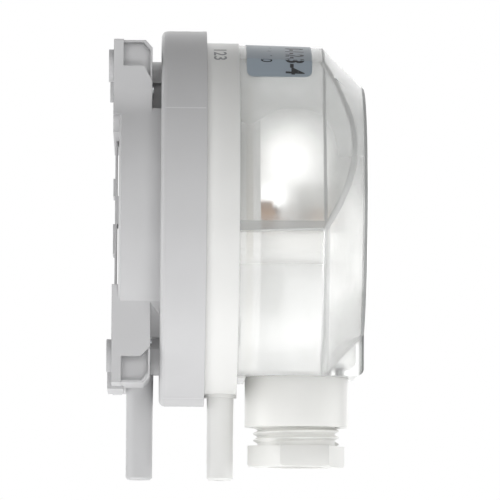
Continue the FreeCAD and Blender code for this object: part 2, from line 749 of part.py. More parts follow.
def plunger_shoulder_x():
    """Front face of the plunger's shoulder, just behind the contact lever."""
    return LEVER_X - LEVER_THICKNESS / 2


def plunger():
    """Plunger: head behind the plates, shank through the guide, shoulder that pushes the lever."""
    head = x_cylinder(PLUNGER_HEAD_R, plunger_x(), plunger_x() + PLUNGER_HEAD)
    shank = x_cylinder(PLUNGER_R, plunger_x(), PLUNGER_TIP_X)
    front_plate = RING_FRONT_X + PLATE_THICKNESS
    retainer = x_cylinder(PLUNGER_HEAD_R, front_plate, front_plate + PLUNGER_HEAD)
    shoulder = x_cylinder(SHOULDER_R, GUIDE_X, plunger_shoulder_x())
    return one_solid(head.fuse([shank, retainer, shoulder]))


def spring_seat():
    """Brass seat of the range spring, pressed on the plunger's tip."""
    seat = x_cylinder(SEAT_R, SEAT_X, SEAT_X + SEAT_THICKNESS)
    pilot = x_cylinder(SEAT_PILOT_R, SEAT_X, SEAT_X + SEAT_THICKNESS + SEAT_PILOT)
    return one_solid(seat.fuse(pilot).cut(x_cylinder(PLUNGER_R + FIT, SEAT_X - OVERCUT, PLUNGER_TIP_X)))


def nut_front_x():
    """Front face of the spring nut at the lowest setting."""
    return BRIDGE_X - SPINDLE_FLANGE - GAP


def spindle_tip_x():
    """Rear end of the spindle, flush with the nut at the highest setting."""
    return nut_front_x() - NUT_THICKNESS - NUT_TRAVEL


def sleeve_rear_x():
    """Rear end of the bridge's sleeve."""
    return spindle_tip_x() - SLEEVE_END_GAP


def spring_nut():
    """Brass nut that the spindle draws along the sleeve to load the spring."""
    front = nut_front_x()
    rear = front - NUT_THICKNESS
    body = x_cylinder(SLEEVE_R - RUN, rear, front)
    half = KEY_WIDTH / 2
    reach = SLEEVE_R + KEY_HEIGHT
    keys = block(rear, front, -reach, reach, -half, half)
    return one_solid(body.fuse(keys).cut(x_cylinder(SPINDLE_R + FIT, rear - OVERCUT, front + OVERCUT)))


def range_spring():
    """Helical spring between the seat and the nut, coiled in short straight runs of a faceted wire."""
    start = SEAT_X + SEAT_THICKNESS + SPRING_WIRE_R
    end = nut_front_x() - NUT_THICKNESS - SPRING_WIRE_R
    count = SPRING_TURNS * SPRING_STEPS
    sections = []
    for k in range(count + 1):
        angle = 2 * math.pi * k / SPRING_STEPS
        along = start + (end - start) * k / count
        corners = []
        for j in range(WIRE_SIDES):
            turn = 2 * math.pi * j / WIRE_SIDES
            reach = SPRING_R + SPRING_WIRE_R * math.cos(turn)
            x = along + SPRING_WIRE_R * math.sin(turn)
            corners.append(V(x, reach * math.cos(angle), reach * math.sin(angle)))
        sections.append(corners)
    return facet_tube(sections)


def dial_spindle():
    """Threaded spindle with a thrust flange under the bridge and a flat for the dial."""
    stem = x_cylinder(SPINDLE_R, spindle_tip_x(), dial_front_x())
    flange = x_cylinder(SPINDLE_FLANGE_R, BRIDGE_X - SPINDLE_FLANGE - FIT, BRIDGE_X - FIT)
    return one_solid(stem.fuse(flange))


def dial_rear_x():
    """Rear face of the dial, clear of the bridge plate."""
    return BRIDGE_X + BRIDGE_PLATE + GAP


def dial_front_x():
    """Front face of the dial's disc."""
    return dial_rear_x() + DIAL_THICKNESS


def setting_dial():
    """Setting dial with a raised knob and a screwdriver slot."""
    disc = x_cylinder(DIAL_R, dial_rear_x(), dial_front_x())
    knob_x = dial_front_x() + KNOB_HEIGHT
    knob = x_cylinder(KNOB_R, dial_front_x(), knob_x)
    half = KNOB_SLOT / 2
    slot = block(knob_x - KNOB_SLOT_DEPTH, knob_x + OVERCUT, -KNOB_R, KNOB_R, -half, half)
    bore = x_cylinder(SPINDLE_R + FIT, dial_rear_x() - OVERCUT, dial_front_x())
    return one_solid(disc.fuse(knob).cut([slot, bore]))


def dial_bridge():
    """Bridge over the mechanism: sleeve for the nut, plate for the dial, three legs with feet."""
    plate_x = BRIDGE_X + BRIDGE_PLATE
    outer = SLEEVE_R + SLEEVE_WALL
    body = x_cylinder(outer, sleeve_rear_x(), plate_x)
    half = BRIDGE_LEG_WIDTH / 2
    leg_in = BRIDGE_LEG_OUT - BRIDGE_LEG_THICKNESS
    arm = block(BRIDGE_X, plate_x, 0, BRIDGE_LEG_OUT, -half, half)
    leg = block(FLANGE_X, plate_x, leg_in, BRIDGE_LEG_OUT, -half, half)
    foot_front = FLANGE_X + BRIDGE_FOOT
    foot = block(FLANGE_X, foot_front, leg_in, BRIDGE_FOOT_R, -half, half)
    screw_way = x_cylinder(BRIDGE_SCREW_R + FIT, FLANGE_X - OVERCUT, foot_front + OVERCUT, BRIDGE_CIRCLE_R)
    limb = arm.fuse([leg, foot]).cut(screw_way)
    body = body.fuse([turned(limb, angle) for angle in BRIDGE_LEG_ANGLES])
    key_half = KEY_WIDTH / 2 + RUN
    key_reach = outer + OVERLAP / 2
    cuts = [
        x_cylinder(SLEEVE_R, sleeve_rear_x() - OVERCUT, BRIDGE_X),
        x_cylinder(SPINDLE_R + RUN, BRIDGE_X - OVERCUT, plate_x + OVERCUT),
        block(sleeve_rear_x() - OVERCUT, nut_front_x() + GAP, -key_reach, key_reach, -key_half, key_half),
    ]
    return one_solid(body.cut(cuts))


def screw(radius, head_r, head, length):
    """Pan-head screw along X: head in front of X = 0, shank behind it."""
    return x_cylinder(radius, -length, 0).fuse(x_cylinder(head_r, 0, head))


def bridge_screws():
    """Screws of the bridge feet."""
    length = BRIDGE_FOOT + BRIDGE_SCREW_DEPTH - FIT
    one = screw(BRIDGE_SCREW_R, BRIDGE_SCREW_HEAD_R, BRIDGE_SCREW_HEAD, length)
    one.translate(V(FLANGE_X + BRIDGE_FOOT, BRIDGE_CIRCLE_R, 0))
    return Part.makeCompound([turned(one, angle) for angle in BRIDGE_LEG_ANGLES])


def housing_screws():
    """Screws that clamp the housings, driven from the rear."""
    one = turned(screw(CLAMP_R, CLAMP_HEAD_R, CLAMP_HEAD, CLAMP_LENGTH), 180, Z_AXIS)
    one.translate(V(CLAMP_SEAT_X, CLAMP_CIRCLE_R, 0))
    return Part.makeCompound(ring_of(one, CLAMP_COUNT))


def contact_reach():
    """Outer half width of the posts that hold the lever's pivot pin."""
    return LEVER_WIDTH / 2 + GAP + POST_WALL


def switch_carrier():
    """Moulded carrier on the floor: pivot posts for the lever and a seat for the fixed contacts."""
    top = PIVOT_Z + POST_DEPTH / 2
    plate_x = FLANGE_X + CARRIER_THICKNESS
    reach = contact_reach()
    low = CONTACT_Z + STRIP_WIDTH / 2 + GAP
    plate = block(FLANGE_X, plate_x, -reach, reach, low, top)
    post_x = LEVER_X + PIVOT_R + POST_WALL
    body = plate
    for side in (-1, 1):
        near, far = sorted((side * (LEVER_WIDTH / 2 + GAP), side * reach))
        body = body.fuse(block(FLANGE_X, post_x, near, far, PIVOT_Z - POST_DEPTH / 2, top))
    pin_way = y_cylinder(PIVOT_R + FIT, reach + OVERCUT, LEVER_X, PIVOT_Z)
    guide_way = x_cylinder(GUIDE_R + FIT, FLANGE_X - OVERCUT, plate_x + OVERCUT)
    return one_solid(body.cut([pin_way, guide_way]))


def lever_pin():
    """Pivot pin of the contact lever."""
    reach = contact_reach()
    return y_cylinder(PIVOT_R, reach, LEVER_X, PIVOT_Z)


def contact_lever():
    """Sprung brass lever with a rolled eye at the pivot and a double contact at its end."""
    half = LEVER_WIDTH / 2
    rear = LEVER_X - LEVER_THICKNESS / 2
    front = LEVER_X + LEVER_THICKNESS / 2
    low = CONTACT_Z - CONTACT_R - LEVER_THICKNESS
    blade = block(rear, front, -half, half, low, PIVOT_Z)
    eye_r = PIVOT_R + RUN + LEVER_THICKNESS
    eye = y_cylinder(eye_r, half, LEVER_X, PIVOT_Z)
    tips = x_cylinder(CONTACT_R, rear - CONTACT_HEIGHT, front + CONTACT_HEIGHT, 0, CONTACT_Z)
    bore = y_cylinder(PIVOT_R + RUN, half + OVERCUT, LEVER_X, PIVOT_Z)
    plunger_way = x_cylinder(PLUNGER_R + GAP, rear - OVERCUT, front + OVERCUT)
    return one_solid(blade.fuse([eye, tips]).cut([bore, plunger_way]))


def terminal_y(index):
    """Place of a terminal across the block."""
    return (index - (TERMINAL_COUNT - 1) / 2) * TERMINAL_PITCH


def strip_foot(index, top_z):
    """Brass strip on the floor, from under a terminal clamp up to top_z."""
    half = STRIP_WIDTH / 2
    y = terminal_y(index)
    low = BLOCK_BOTTOM_Z + POCKET_WALL + GAP
    return block(FLANGE_X, FLANGE_X + STRIP_THICKNESS, y - half, y + half, low, top_z)


def rest_contact():
    """Fixed contact behind the lever, which it touches at rest, on the strip of the middle terminal."""
    tip_x = LEVER_X - LEVER_THICKNESS / 2 - CONTACT_HEIGHT
    button = x_cylinder(CONTACT_R, FLANGE_X, tip_x, 0, CONTACT_Z)
    return one_solid(strip_foot(1, CONTACT_Z + STRIP_WIDTH / 2).fuse(button))


def work_contact():
    """Fixed contact in front of the lever, on a raised bridge from the last terminal."""
    swing = PLUNGER_TRAVEL / (PIVOT_Z - SHOULDER_R)
    travel = (PIVOT_Z - CONTACT_Z + CONTACT_R) * swing
    half = STRIP_WIDTH / 2
    face_x = LEVER_X + LEVER_THICKNESS / 2 + CONTACT_HEIGHT + travel + CONTACT_CLEARANCE
    strip_x = face_x + CONTACT_HEIGHT
    side_y = contact_reach() + GAP
    last = TERMINAL_COUNT - 1
    top = CONTACT_Z + half
    low = top - STRIP_WIDTH
    bridge = block(strip_x, strip_x + STRIP_THICKNESS, -half, side_y + STRIP_THICKNESS, low, top)
    riser = block(FLANGE_X, strip_x + STRIP_THICKNESS, side_y, side_y + STRIP_THICKNESS, low, top)
    foot = block(FLANGE_X, FLANGE_X + STRIP_THICKNESS, side_y, terminal_y(last) + half, low, top)
    button = x_cylinder(CONTACT_R, face_x, strip_x, 0, CONTACT_Z)
    return one_solid(bridge.fuse([riser, foot, button, strip_foot(last, top)]))


def common_strip():
    """Brass strip from the first terminal up to the lever's pivot pin."""
    reach = contact_reach()
    ear_x = LEVER_X + PIVOT_R
    low = PIVOT_Z - POST_DEPTH / 2
    top = PIVOT_Z + POST_DEPTH / 2
    across = block(FLANGE_X, FLANGE_X + STRIP_THICKNESS, terminal_y(0), -reach, low, top)
    ear = block(FLANGE_X, ear_x, -reach - STRIP_THICKNESS, -reach, low, top)
    return one_solid(strip_foot(0, top).fuse([across, ear]))


def terminal_block():
    """Moulded block with a pocket for each terminal and a wire way from below."""
    width = BLOCK_HALF_WIDTH
    body = block(FLANGE_X, BLOCK_FRONT_X, -width, width, BLOCK_BOTTOM_Z, BLOCK_TOP_Z)
    front_edges = [e for e in body.Edges if e.BoundBox.XMin > BLOCK_FRONT_X - FIT]
    body = body.makeChamfer(BLOCK_CHAMFER, front_edges)
    half = POCKET_WIDTH / 2
    strip_half = STRIP_WIDTH / 2 + RUN
    rear = FLANGE_X - OVERCUT
    strip_front = FLANGE_X + STRIP_THICKNESS + RUN
    top = BLOCK_TOP_Z + OVERCUT
    low = BLOCK_BOTTOM_Z + POCKET_WALL
    high = BLOCK_TOP_Z - POCKET_WALL
    cuts = []
    for index in range(TERMINAL_COUNT):
        y = terminal_y(index)
        cuts.append(block(rear, BLOCK_FRONT_X + OVERCUT, y - half, y + half, low, high))
        cuts.append(block(rear, strip_front, y - strip_half, y + strip_half, low, top))
        cuts.append(z_cylinder(WIRE_R + GAP, BLOCK_BOTTOM_Z - OVERCUT, low + OVERCUT, wire_x(), y))
    return one_solid(body.cut(cuts))


def wire_x():
    """Depth at which the wires enter the clamps."""
    return FLANGE_X + STRIP_THICKNESS + CLAMP_WAY


def terminal_clamps():
    """Brass clamp bodies, each with a wire hole from below and a screw hole from the front."""
    half = CLAMP_BODY / 2
    low = BLOCK_BOTTOM_Z + POCKET_WALL + GAP
    high = BLOCK_TOP_Z - POCKET_WALL - GAP
    rear = FLANGE_X + STRIP_THICKNESS
    front = rear + CLAMP_BODY
    middle_z = (low + high) / 2
    clamps = []
    for index in range(TERMINAL_COUNT):
        y = terminal_y(index)
        body = block(rear, front, y - half, y + half, low, high)
        wire_way = z_cylinder(WIRE_R, low - OVERCUT, high + OVERCUT, wire_x(), y)
        screw_way = x_cylinder(TERMINAL_SCREW_R + FIT, wire_x(), front + OVERCUT, y, middle_z)
        clamps.append(one_solid(body.cut([wire_way, screw_way])))
    return Part.makeCompound(clamps)


def terminal_screws():
    """Screws of the clamps, backed out so that the wire ways are open."""
    middle_z = (BLOCK_BOTTOM_Z + BLOCK_TOP_Z) / 2
    seat_x = wire_x() + WIRE_R + TERMINAL_SCREW_LENGTH
    placed = []
    for index in range(TERMINAL_COUNT):
        one = screw(TERMINAL_SCREW_R, TERMINAL_SCREW_HEAD_R, TERMINAL_SCREW_HEAD, TERMINAL_SCREW_LENGTH)
        slot = block(SLOT_FLOOR, SLOT_FRONT, -SLOT_REACH, SLOT_REACH, -GAP, GAP)
        one = one.cut(slot)
        one.translate(V(seat_x, terminal_y(index), middle_z))
        placed.append(one_solid(one))
    return Part.makeCompound(placed)


def tie_places():
    """Places (x, y) of the screws that tie the gland to the cover."""
    angles = [2 * math.pi * k / TIE_COUNT for k in range(TIE_COUNT)]
    return [(GLAND_X + TIE_CIRCLE_R * math.cos(a), TIE_CIRCLE_R * math.sin(a)) for a in angles]


def gland_body():
    """Gland body: collar under the cover, spigot through its bottom, seal seat and female thread."""
    top = -COVER_BOTTOM
    collar = z_cylinder(GLAND_COLLAR_R, GLAND_COLLAR_TIP_Z, top, GLAND_X)
    spigot = z_cylinder(GLAND_SPIGOT_R, top - FIT, top + GLAND_SPIGOT, GLAND_X)
    thread_top = GLAND_COLLAR_TIP_Z + GLAND_THREAD_DEPTH
    cuts = [
        z_cylinder(GLAND_BORE_R, GLAND_COLLAR_TIP_Z - OVERCUT, top + GLAND_SPIGOT + OVERCUT, GLAND_X),
        z_cylinder(GLAND_THREAD_R + RUN, GLAND_COLLAR_TIP_Z - OVERCUT, thread_top, GLAND_X),
        z_cylinder(GLAND_GRIP_R + FIT, GLAND_COLLAR_TIP_Z - OVERCUT, seal_top_z(), GLAND_X),
    ]
    for x, y in tie_places():
        cuts.append(z_cylinder(TIE_R + FIT, top - TIE_DEPTH, top + OVERCUT, x, y))
    return one_solid(collar.fuse(spigot).cut(cuts))


def seal_top_z():
    """Upper end of the grip seal's seat."""
    return nose_top_z() + GLAND_WASHER + SEAL_LENGTH


def nose_top_z():
    """Upper end of the gland screw's nose at rest."""
    return GLAND_HEAD_TOP_Z + GLAND_NOSE_LENGTH


def gland_washer():
    """Slip washer between the screw's nose and the seal."""
    low = nose_top_z()
    high = low + GLAND_WASHER
    ring = z_cylinder(GLAND_GRIP_R, low, high, GLAND_X)
    return one_solid(ring.cut(z_cylinder(GLAND_BORE_R + GAP, low - OVERCUT, high + OVERCUT, GLAND_X)))


def gland_seal():
    """Rubber seal that grips the cable."""
    low = nose_top_z() + GLAND_WASHER
    ring = z_cylinder(GLAND_GRIP_R - RUN, low, seal_top_z(), GLAND_X)
    return one_solid(ring.cut(z_cylinder(GLAND_BORE_R, low - OVERCUT, seal_top_z() + OVERCUT, GLAND_X)))


def gland_screw():
    """Hollow compression screw with a hexagon head."""
    corner_r = GLAND_HEAD_FLATS / math.sqrt(3)
    bottom = GLAND_HEAD_TOP_Z - GLAND_HEAD_HEIGHT
    corners = []
    for k in range(GLAND_HEAD_SIDES):
        angle = math.radians(FULL_TURN * k / GLAND_HEAD_SIDES + GLAND_HEAD_TURN)
        corners.append(V(GLAND_X + corner_r * math.cos(angle), corner_r * math.sin(angle), bottom))
    hexagon = Part.Face(Part.makePolygon(corners + corners[:1]))
    head = hexagon.extrude(V(0, 0, GLAND_HEAD_HEIGHT))
    low_r = corner_r - GLAND_HEAD_CHAMFER
    high_r = low_r + GLAND_HEAD_HEIGHT
    rounding = Part.makeCone(low_r, high_r, GLAND_HEAD_HEIGHT, V(GLAND_X, 0, bottom), Z_AXIS)
    nose = z_cylinder(GLAND_THREAD_R, GLAND_HEAD_TOP_Z - FIT, nose_top_z(), GLAND_X)
    bore = z_cylinder(GLAND_BORE_R + GAP, bottom - OVERCUT, nose_top_z() + OVERCUT, GLAND_X)
    return one_solid(head.common(rounding).fuse(nose).cut(bore))


def gland_tie_screws():
    """Small screws that tie the gland to the cover from inside."""
    placed = []
    for x, y in tie_places():
        one = screw(TIE_R, TIE_HEAD_R, TIE_HEAD, COVER_WALL + TIE_DEPTH - GAP)
        one = turned(one, -90, Y_AXIS)
        one.translate(V(x, y, -COVER_BOTTOM + COVER_WALL))
        placed.append(one_solid(one))
    return Part.makeCompound(placed)


NODES = {
    "rear_housing": rear_housing,
    "front_housing": front_housing,
    "housing_screws": housing_screws,
    "diaphragm": diaphragm,
    "rear_diaphragm_plate": lambda: diaphragm_plate(-1),
    "front_diaphragm_plate": lambda: diaphragm_plate(1),
    "plunger": plunger,
    "spring_seat": spring_seat,
    "range_spring": range_spring,
    "spring_nut": spring_nut,
    "dial_spindle": dial_spindle,
    "setting_dial": setting_dial,
    "dial_bridge": dial_bridge,
    "bridge_screws": bridge_screws,
    "switch_carrier": switch_carrier,
    "contact_lever": contact_lever,
    "lever_pin": lever_pin,
    "rest_contact": rest_contact,
    "work_contact": work_contact,
    "common_strip": common_strip,
    "terminal_block": terminal_block,
    "terminal_clamps": terminal_clamps,
    "terminal_screws": terminal_screws,
    "clear_cover": clear_cover,
    "cover_gasket": cover_gasket,
    "range_label": range_label,
    "gland_body": gland_body,
    "gland_seal": gland_seal,
    "gland_washer": gland_washer,
    "gland_screw": gland_screw,
    "gland_tie_screws": gland_tie_screws,
}


def main():
    os.makedirs("parts", exist_ok=True)
    for name, make in NODES.items():
        shape = make()
        shape.exportStep(f"parts/{name}.step")
        box = shape.BoundBox
        spans = ((box.XMin, box.XMax), (box.YMin, box.YMax), (box.ZMin, box.ZMax))
        size = ", ".join(f"{low:.2f}..{high:.2f}" for low, high in spans)
        print(f"{name}: {len(shape.Solids)} solids, valid {shape.isValid()}, {shape.Volume:.1f} mm3, {size}")


main()
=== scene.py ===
"""Looks of a differential pressure switch: moulded housings, a clear cover and a cable gland.

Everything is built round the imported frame, in metres. X points from the wall to the front
of the cover and Z points up. Sizes below are in millimetres unless a name says otherwise.
"""

import json
import logging
import math
from collections.abc import Callable
from dataclasses import dataclass
from enum import Enum

import bmesh
import bpy
from bmesh.types import BMEdge, BMesh, BMFace, BMLayerItem, BMVert
from bpy.types import Material, Node, NodeSocket, NodeTree, Object
from mathutils import Matrix, Quaternion, Vector


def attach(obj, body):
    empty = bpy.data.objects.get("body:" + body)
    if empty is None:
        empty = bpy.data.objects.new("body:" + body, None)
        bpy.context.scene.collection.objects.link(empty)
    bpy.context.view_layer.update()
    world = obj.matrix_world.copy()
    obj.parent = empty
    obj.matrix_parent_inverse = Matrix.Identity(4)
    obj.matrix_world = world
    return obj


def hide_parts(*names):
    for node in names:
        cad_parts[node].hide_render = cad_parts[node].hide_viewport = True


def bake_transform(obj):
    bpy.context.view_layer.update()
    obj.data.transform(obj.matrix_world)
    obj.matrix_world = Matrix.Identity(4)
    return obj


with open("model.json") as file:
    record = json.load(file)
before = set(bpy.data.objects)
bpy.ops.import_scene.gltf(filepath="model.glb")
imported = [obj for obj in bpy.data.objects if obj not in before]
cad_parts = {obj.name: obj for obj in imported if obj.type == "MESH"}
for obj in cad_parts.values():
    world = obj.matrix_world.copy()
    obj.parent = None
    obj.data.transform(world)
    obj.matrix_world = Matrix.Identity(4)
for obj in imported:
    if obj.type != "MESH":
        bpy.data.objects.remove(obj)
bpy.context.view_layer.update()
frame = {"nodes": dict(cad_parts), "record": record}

MM = 0.001
LOG = logging.getLogger("pressure_switch")
# Attribute of the cover's faces: share of the painted shade of a wall seen edge-on, zero to one
PAINTED_EDGE_SHADE = "painted_edge_shade"
# Points of a solid's mesh nearer than this are one point.
MERGE_DISTANCE = 0.002
# Triangles within this many degrees of each other are one flat face.
FLAT_ANGLE = 0.5
# Height of a figure as a share of the size of its font
CAP_SHARE = 0.7


class Body(Enum):
    """Bodies of the frame that pieces ride on."""

    HOUSING = "housing"
    DIAL = "dial"
    NUT = "nut"
    CARRIAGE = "gland_carriage"
    TURNER = "gland_turner"


def linear(code: str) -> tuple[float, float, float, float]:
    """Turn an sRGB hex colour into linear values.

    Args:
        code: Six hex digits with a leading hash.

    Returns:
        Linear red, green, blue and an alpha of one.
    """
    parts = [int(code[i : i + 2], 16) / 255 for i in (1, 3, 5)]
    curve = [p / 12.92 if p <= 0.04045 else ((p + 0.055) / 1.055) ** 2.4 for p in parts]
    return (*curve, 1.0)


def add_node(
    tree: NodeTree,
    kind: str,
    settings: dict[str | int, object],
    links: dict[str | int, NodeSocket],
) -> Node:
    """Add a node, set its sockets or properties and link its inputs.

    Inputs by number: Map Range has its old ends at 1 and 2 and its new ends at 3 and 4, Mix has
    its share at 0 and its colours at 6 and 7.

    Args:
        tree: The material's or world's node tree.
        kind: Node type.
        settings: Values of inputs, by name or number, and of properties, by name.
        links: Output sockets by the name or number of the input that they feed.

    Returns:
        The new node.
    """
    node = tree.nodes.new(kind)
    for name, value in settings.items():
        if isinstance(name, int) or name in node.inputs:
            node.inputs[name].default_value = value
        else:
            setattr(node, name, value)
    for name, source in links.items():
        tree.links.new(source, node.inputs[name])
    return node


def new_material(name: str) -> Material:
    """Make an empty node material.

    Args:
        name: Name of the material.

    Returns:
        The material, with no nodes.
    """
    material = bpy.data.materials.new(name)
    material.use_nodes = True
    material.node_tree.nodes.clear()
    return material


@dataclass(frozen=True)
class Moulding:
    """Injection-moulded thermoplastic: even colour, satin skin, very fine grain from the mould."""

    name: str
    colour: str
    roughness: float = 0.42
    ior: float = 1.54
    gloss: float = 0.3
    mottle: float = 0.04
    mottle_size: float = 9.0
    grain_size: float = 0.35
    grain_depth: float = 0.004
    edge_radius: float = 0.0
    roughness_spread: float = 0.05

    def material(self) -> Material:
        """Build the material.

        Returns:
            The material of the moulding.
        """
        made = new_material(self.name)
        tree = made.node_tree
        place = add_node(tree, "ShaderNodeTexCoord", {}, {}).outputs["Object"]
        cloud = add_node(
            tree,
            "ShaderNodeTexNoise",
            {"Scale": 1 / (self.mottle_size * MM), "Detail": 2.0},
            {"Vector": place},
        )
        shade = add_node(
            tree, "ShaderNodeMapRange", {3: 1 - self.mottle, 4: 1.0}, {0: cloud.outputs[0]}
        )
        tone = add_node(
            tree,
            "ShaderNodeMix",
            {"data_type": "RGBA", "blend_type": "MULTIPLY", 0: 1.0, 6: linear(self.colour)},
            {7: shade.outputs[0]},
        )
        gloss = add_node(
            tree,
            "ShaderNodeMapRange",
            {3: self.roughness - self.roughness_spread, 4: self.roughness + self.roughness_spread},
            {0: cloud.outputs[0]},
        )
        grain = add_node(
            tree,
            "ShaderNodeTexNoise",
            {"Scale": 1 / (self.grain_size * MM), "Detail": 1.0},
            {"Vector": place},
        )
        links = {"Height": grain.outputs[0]}
        if self.edge_radius:
            # The moulding's edges are broken by a small radius that catches the light.
            edge = add_node(
                tree, "ShaderNodeBevel", {"samples": 6, "Radius": self.edge_radius * MM}, {}
            )
            links["Normal"] = edge.outputs[0]
        bump = add_node(
            tree, "ShaderNodeBump", {"Strength": 1.0, "Distance": self.grain_depth * MM}, links
        )
        skin = add_node(
            tree,
            "ShaderNodeBsdfPrincipled",
            {"IOR": self.ior, "Specular IOR Level": self.gloss},
            {
                "Base Color": tone.outputs[2],
                "Roughness": gloss.outputs[0],
                "Normal": bump.outputs[0],
            },
        )
        add_node(tree, "ShaderNodeOutputMaterial", {}, {0: skin.outputs[0]})
        return made


@dataclass(frozen=True)
class ClearMoulding:
    """Clear polycarbonate, etched inside; grey bands on walls seen edge-on are painted shade.

    The etching's grey grows toward the top as painted shade and thins in a round patch seen from
    the side, a painted highlight; the haze is finer in a spot before the brass seat. Low on the
    side walls a white diffuse share is painted light; the front is polished more than the rest.
    """

    name: str
    clear_colour: str
    # Grey of the etching, which also carries painted shade toward the top
    etch_and_shade_colour: str = "#CECFCE"
    # Painted shade: the grey of a wall seen edge-on
    painted_edge_colour: str = "#8C8E8D"
    milk_colour: str = "#F2F3F2"
    roughness: float = 0.25
    ior: float = 1.585
    clear_milk: float = 0.04
    etch_and_shade_milk: float = 0.30
    painted_edge_milk: float = 0.90
    # Heights over which the grey grows toward the top: painted shade
    painted_shade_from_z: float = -6.0
    painted_shade_to_z: float = 30.0
    cone_from_x: float = 48.0
    cone_to_x: float = 51.0
    cone_etch: float = 0.30
    # Round patch seen from the side where the grey thins: a painted highlight
    window_at: tuple[float, float, float] = (41.0, 0.0, 13.5)
    window_radius: float = 11.0
    window_core: float = 0.25
    # Soft clouds in the etching, ninety to the metre
    cloud_scale: float = 90.0
    cloud_thin: float = 0.75
    cloud_dense: float = 1.15
    spot_at: tuple[float, float, float] = (35.6, 0.0, 1.0)
    spot_radius: float = 5.0
    spot_core: float = 0.5
    spot_roughness: float = 0.10
    front_from_x: float = 56.0
    front_to_x: float = 57.4
    front_polish: float = 0.5
    # White diffuse share low on the side walls: painted light
    painted_light_from_z: float = -8.0
    painted_light_to_z: float = -14.0
    painted_light: float = 0.25
    # Share of the light that each wall lets through to the parts inside
    passing: float = 0.96

    def away_from(
        self, tree: NodeTree, place: NodeSocket, spot: tuple[float, float, float]
    ) -> NodeSocket:
        """Build the distance from a spot as it is seen from the side.

        Args:
            tree: The material's node tree.
            place: Socket with the place on the object.
            spot: The spot, in millimetres.

        Returns:
            Socket with the distance, in metres.
        """
        flat_place = add_node(
            tree, "ShaderNodeVectorMath", {"operation": "MULTIPLY", 1: (1, 0, 1)}, {0: place}
        )
        centre = tuple(c * MM for c in spot)
        away = add_node(
            tree,
            "ShaderNodeVectorMath",
            {"operation": "DISTANCE", 1: centre},
            {0: flat_place.outputs[0]},
        )
        return away.outputs["Value"]

    def haze(self, tree: NodeTree, place: NodeSocket) -> NodeSocket:
        """Build the roughness: less in the spot before the brass seat and on the front.

        Args:
            tree: The material's node tree.
            place: Socket with the place on the object.

        Returns:
            Socket with the roughness.
        """
        split = add_node(tree, "ShaderNodeSeparateXYZ", {}, {0: place})
        rough = add_node(
            tree,
            "ShaderNodeMapRange",
            {
                1: self.spot_radius * MM * self.spot_core,
                2: self.spot_radius * MM,
                3: self.spot_roughness,
                4: self.roughness,
            },
            {0: self.away_from(tree, place, self.spot_at)},
        )
        polish = add_node(
            tree,
            "ShaderNodeMapRange",
            {1: self.front_from_x * MM, 2: self.front_to_x * MM, 3: 1.0, 4: self.front_polish},
            {0: split.outputs[0]},
        )
        smooth_front = add_node(
            tree,
            "ShaderNodeMath",
            {"operation": "MULTIPLY"},
            {0: rough.outputs[0], 1: polish.outputs[0]},
        )
        return smooth_front.outputs[0]

    def white_painted_light(self, tree: NodeTree, place: NodeSocket) -> NodeSocket:
        """Build the share of painted light: a white diffuse share low on the side walls.

        Args:
            tree: The material's node tree.
            place: Socket with the place on the object.

        Returns:
            Socket with the share.
        """
        split = add_node(tree, "ShaderNodeSeparateXYZ", {}, {0: place})
        below = add_node(
            tree,
            "ShaderNodeMapRange",
            {
                "interpolation_type": "SMOOTHSTEP",
                1: self.painted_light_from_z * MM,
                2: self.painted_light_to_z * MM,
                4: self.painted_light,
            },
            {0: split.outputs[2]},
        )
        side = add_node(
            tree,
            "ShaderNodeMapRange",
            {1: self.cone_from_x * MM, 2: self.cone_to_x * MM, 3: 1.0, 4: 0.0},
            {0: split.outputs[0]},
        )
        share = add_node(
            tree,
            "ShaderNodeMath",
            {"operation": "MULTIPLY"},
            {0: below.outputs[0], 1: side.outputs[0]},
        )
        return share.outputs[0]

    def etch_and_shade(self, tree: NodeTree, place: NodeSocket) -> NodeSocket:
        """Build the share of etching and painted shade, rising toward the top and on the cone;
        it thins in a round patch of painted highlight.

        Args:
            tree: The material's node tree.
            place: Socket with the place on the object.

        Returns:
            Socket with the share, from zero to one.
        """
        split = add_node(tree, "ShaderNodeSeparateXYZ", {}, {0: place})
        upward = add_node(
            tree,
            "ShaderNodeMapRange",
            {"interpolation_type": "SMOOTHSTEP", 1: self.painted_shade_from_z * MM, 2: self.painted_shade_to_z * MM},
            {0: split.outputs[2]},
        )
        onward = add_node(
            tree,
            "ShaderNodeMapRange",
            {1: self.cone_from_x * MM, 2: self.cone_to_x * MM, 3: 0.0, 4: self.cone_etch},
            {0: split.outputs[0]},
        )
        # Painted highlight: the grey thins in a round patch seen from the side
        window = add_node(
            tree,
            "ShaderNodeMapRange",
            {
                "interpolation_type": "SMOOTHSTEP",
                1: self.window_radius * MM * self.window_core,
                2: self.window_radius * MM,
            },
            {0: self.away_from(tree, place, self.window_at)},
        )
        both = add_node(
            tree,
            "ShaderNodeMath",
            {"use_clamp": True},
            {0: upward.outputs[0], 1: onward.outputs[0]},
        )
        cloud = add_node(
            tree,
            "ShaderNodeTexNoise",
            {"Scale": self.cloud_scale, "Detail": 2.0},
            {"Vector": place},
        )
        uneven = add_node(
            tree,
            "ShaderNodeMapRange",
            {3: self.cloud_thin, 4: self.cloud_dense},
            {0: cloud.outputs[0]},
        )
        spotted = add_node(
            tree,
            "ShaderNodeMath",
            {"operation": "MULTIPLY"},
            {0: both.outputs[0], 1: window.outputs[0]},
        )
        share = add_node(
            tree,
            "ShaderNodeMath",
            {"operation": "MULTIPLY", "use_clamp": True},
            {0: spotted.outputs[0], 1: uneven.outputs[0]},
        )
        return share.outputs[0]

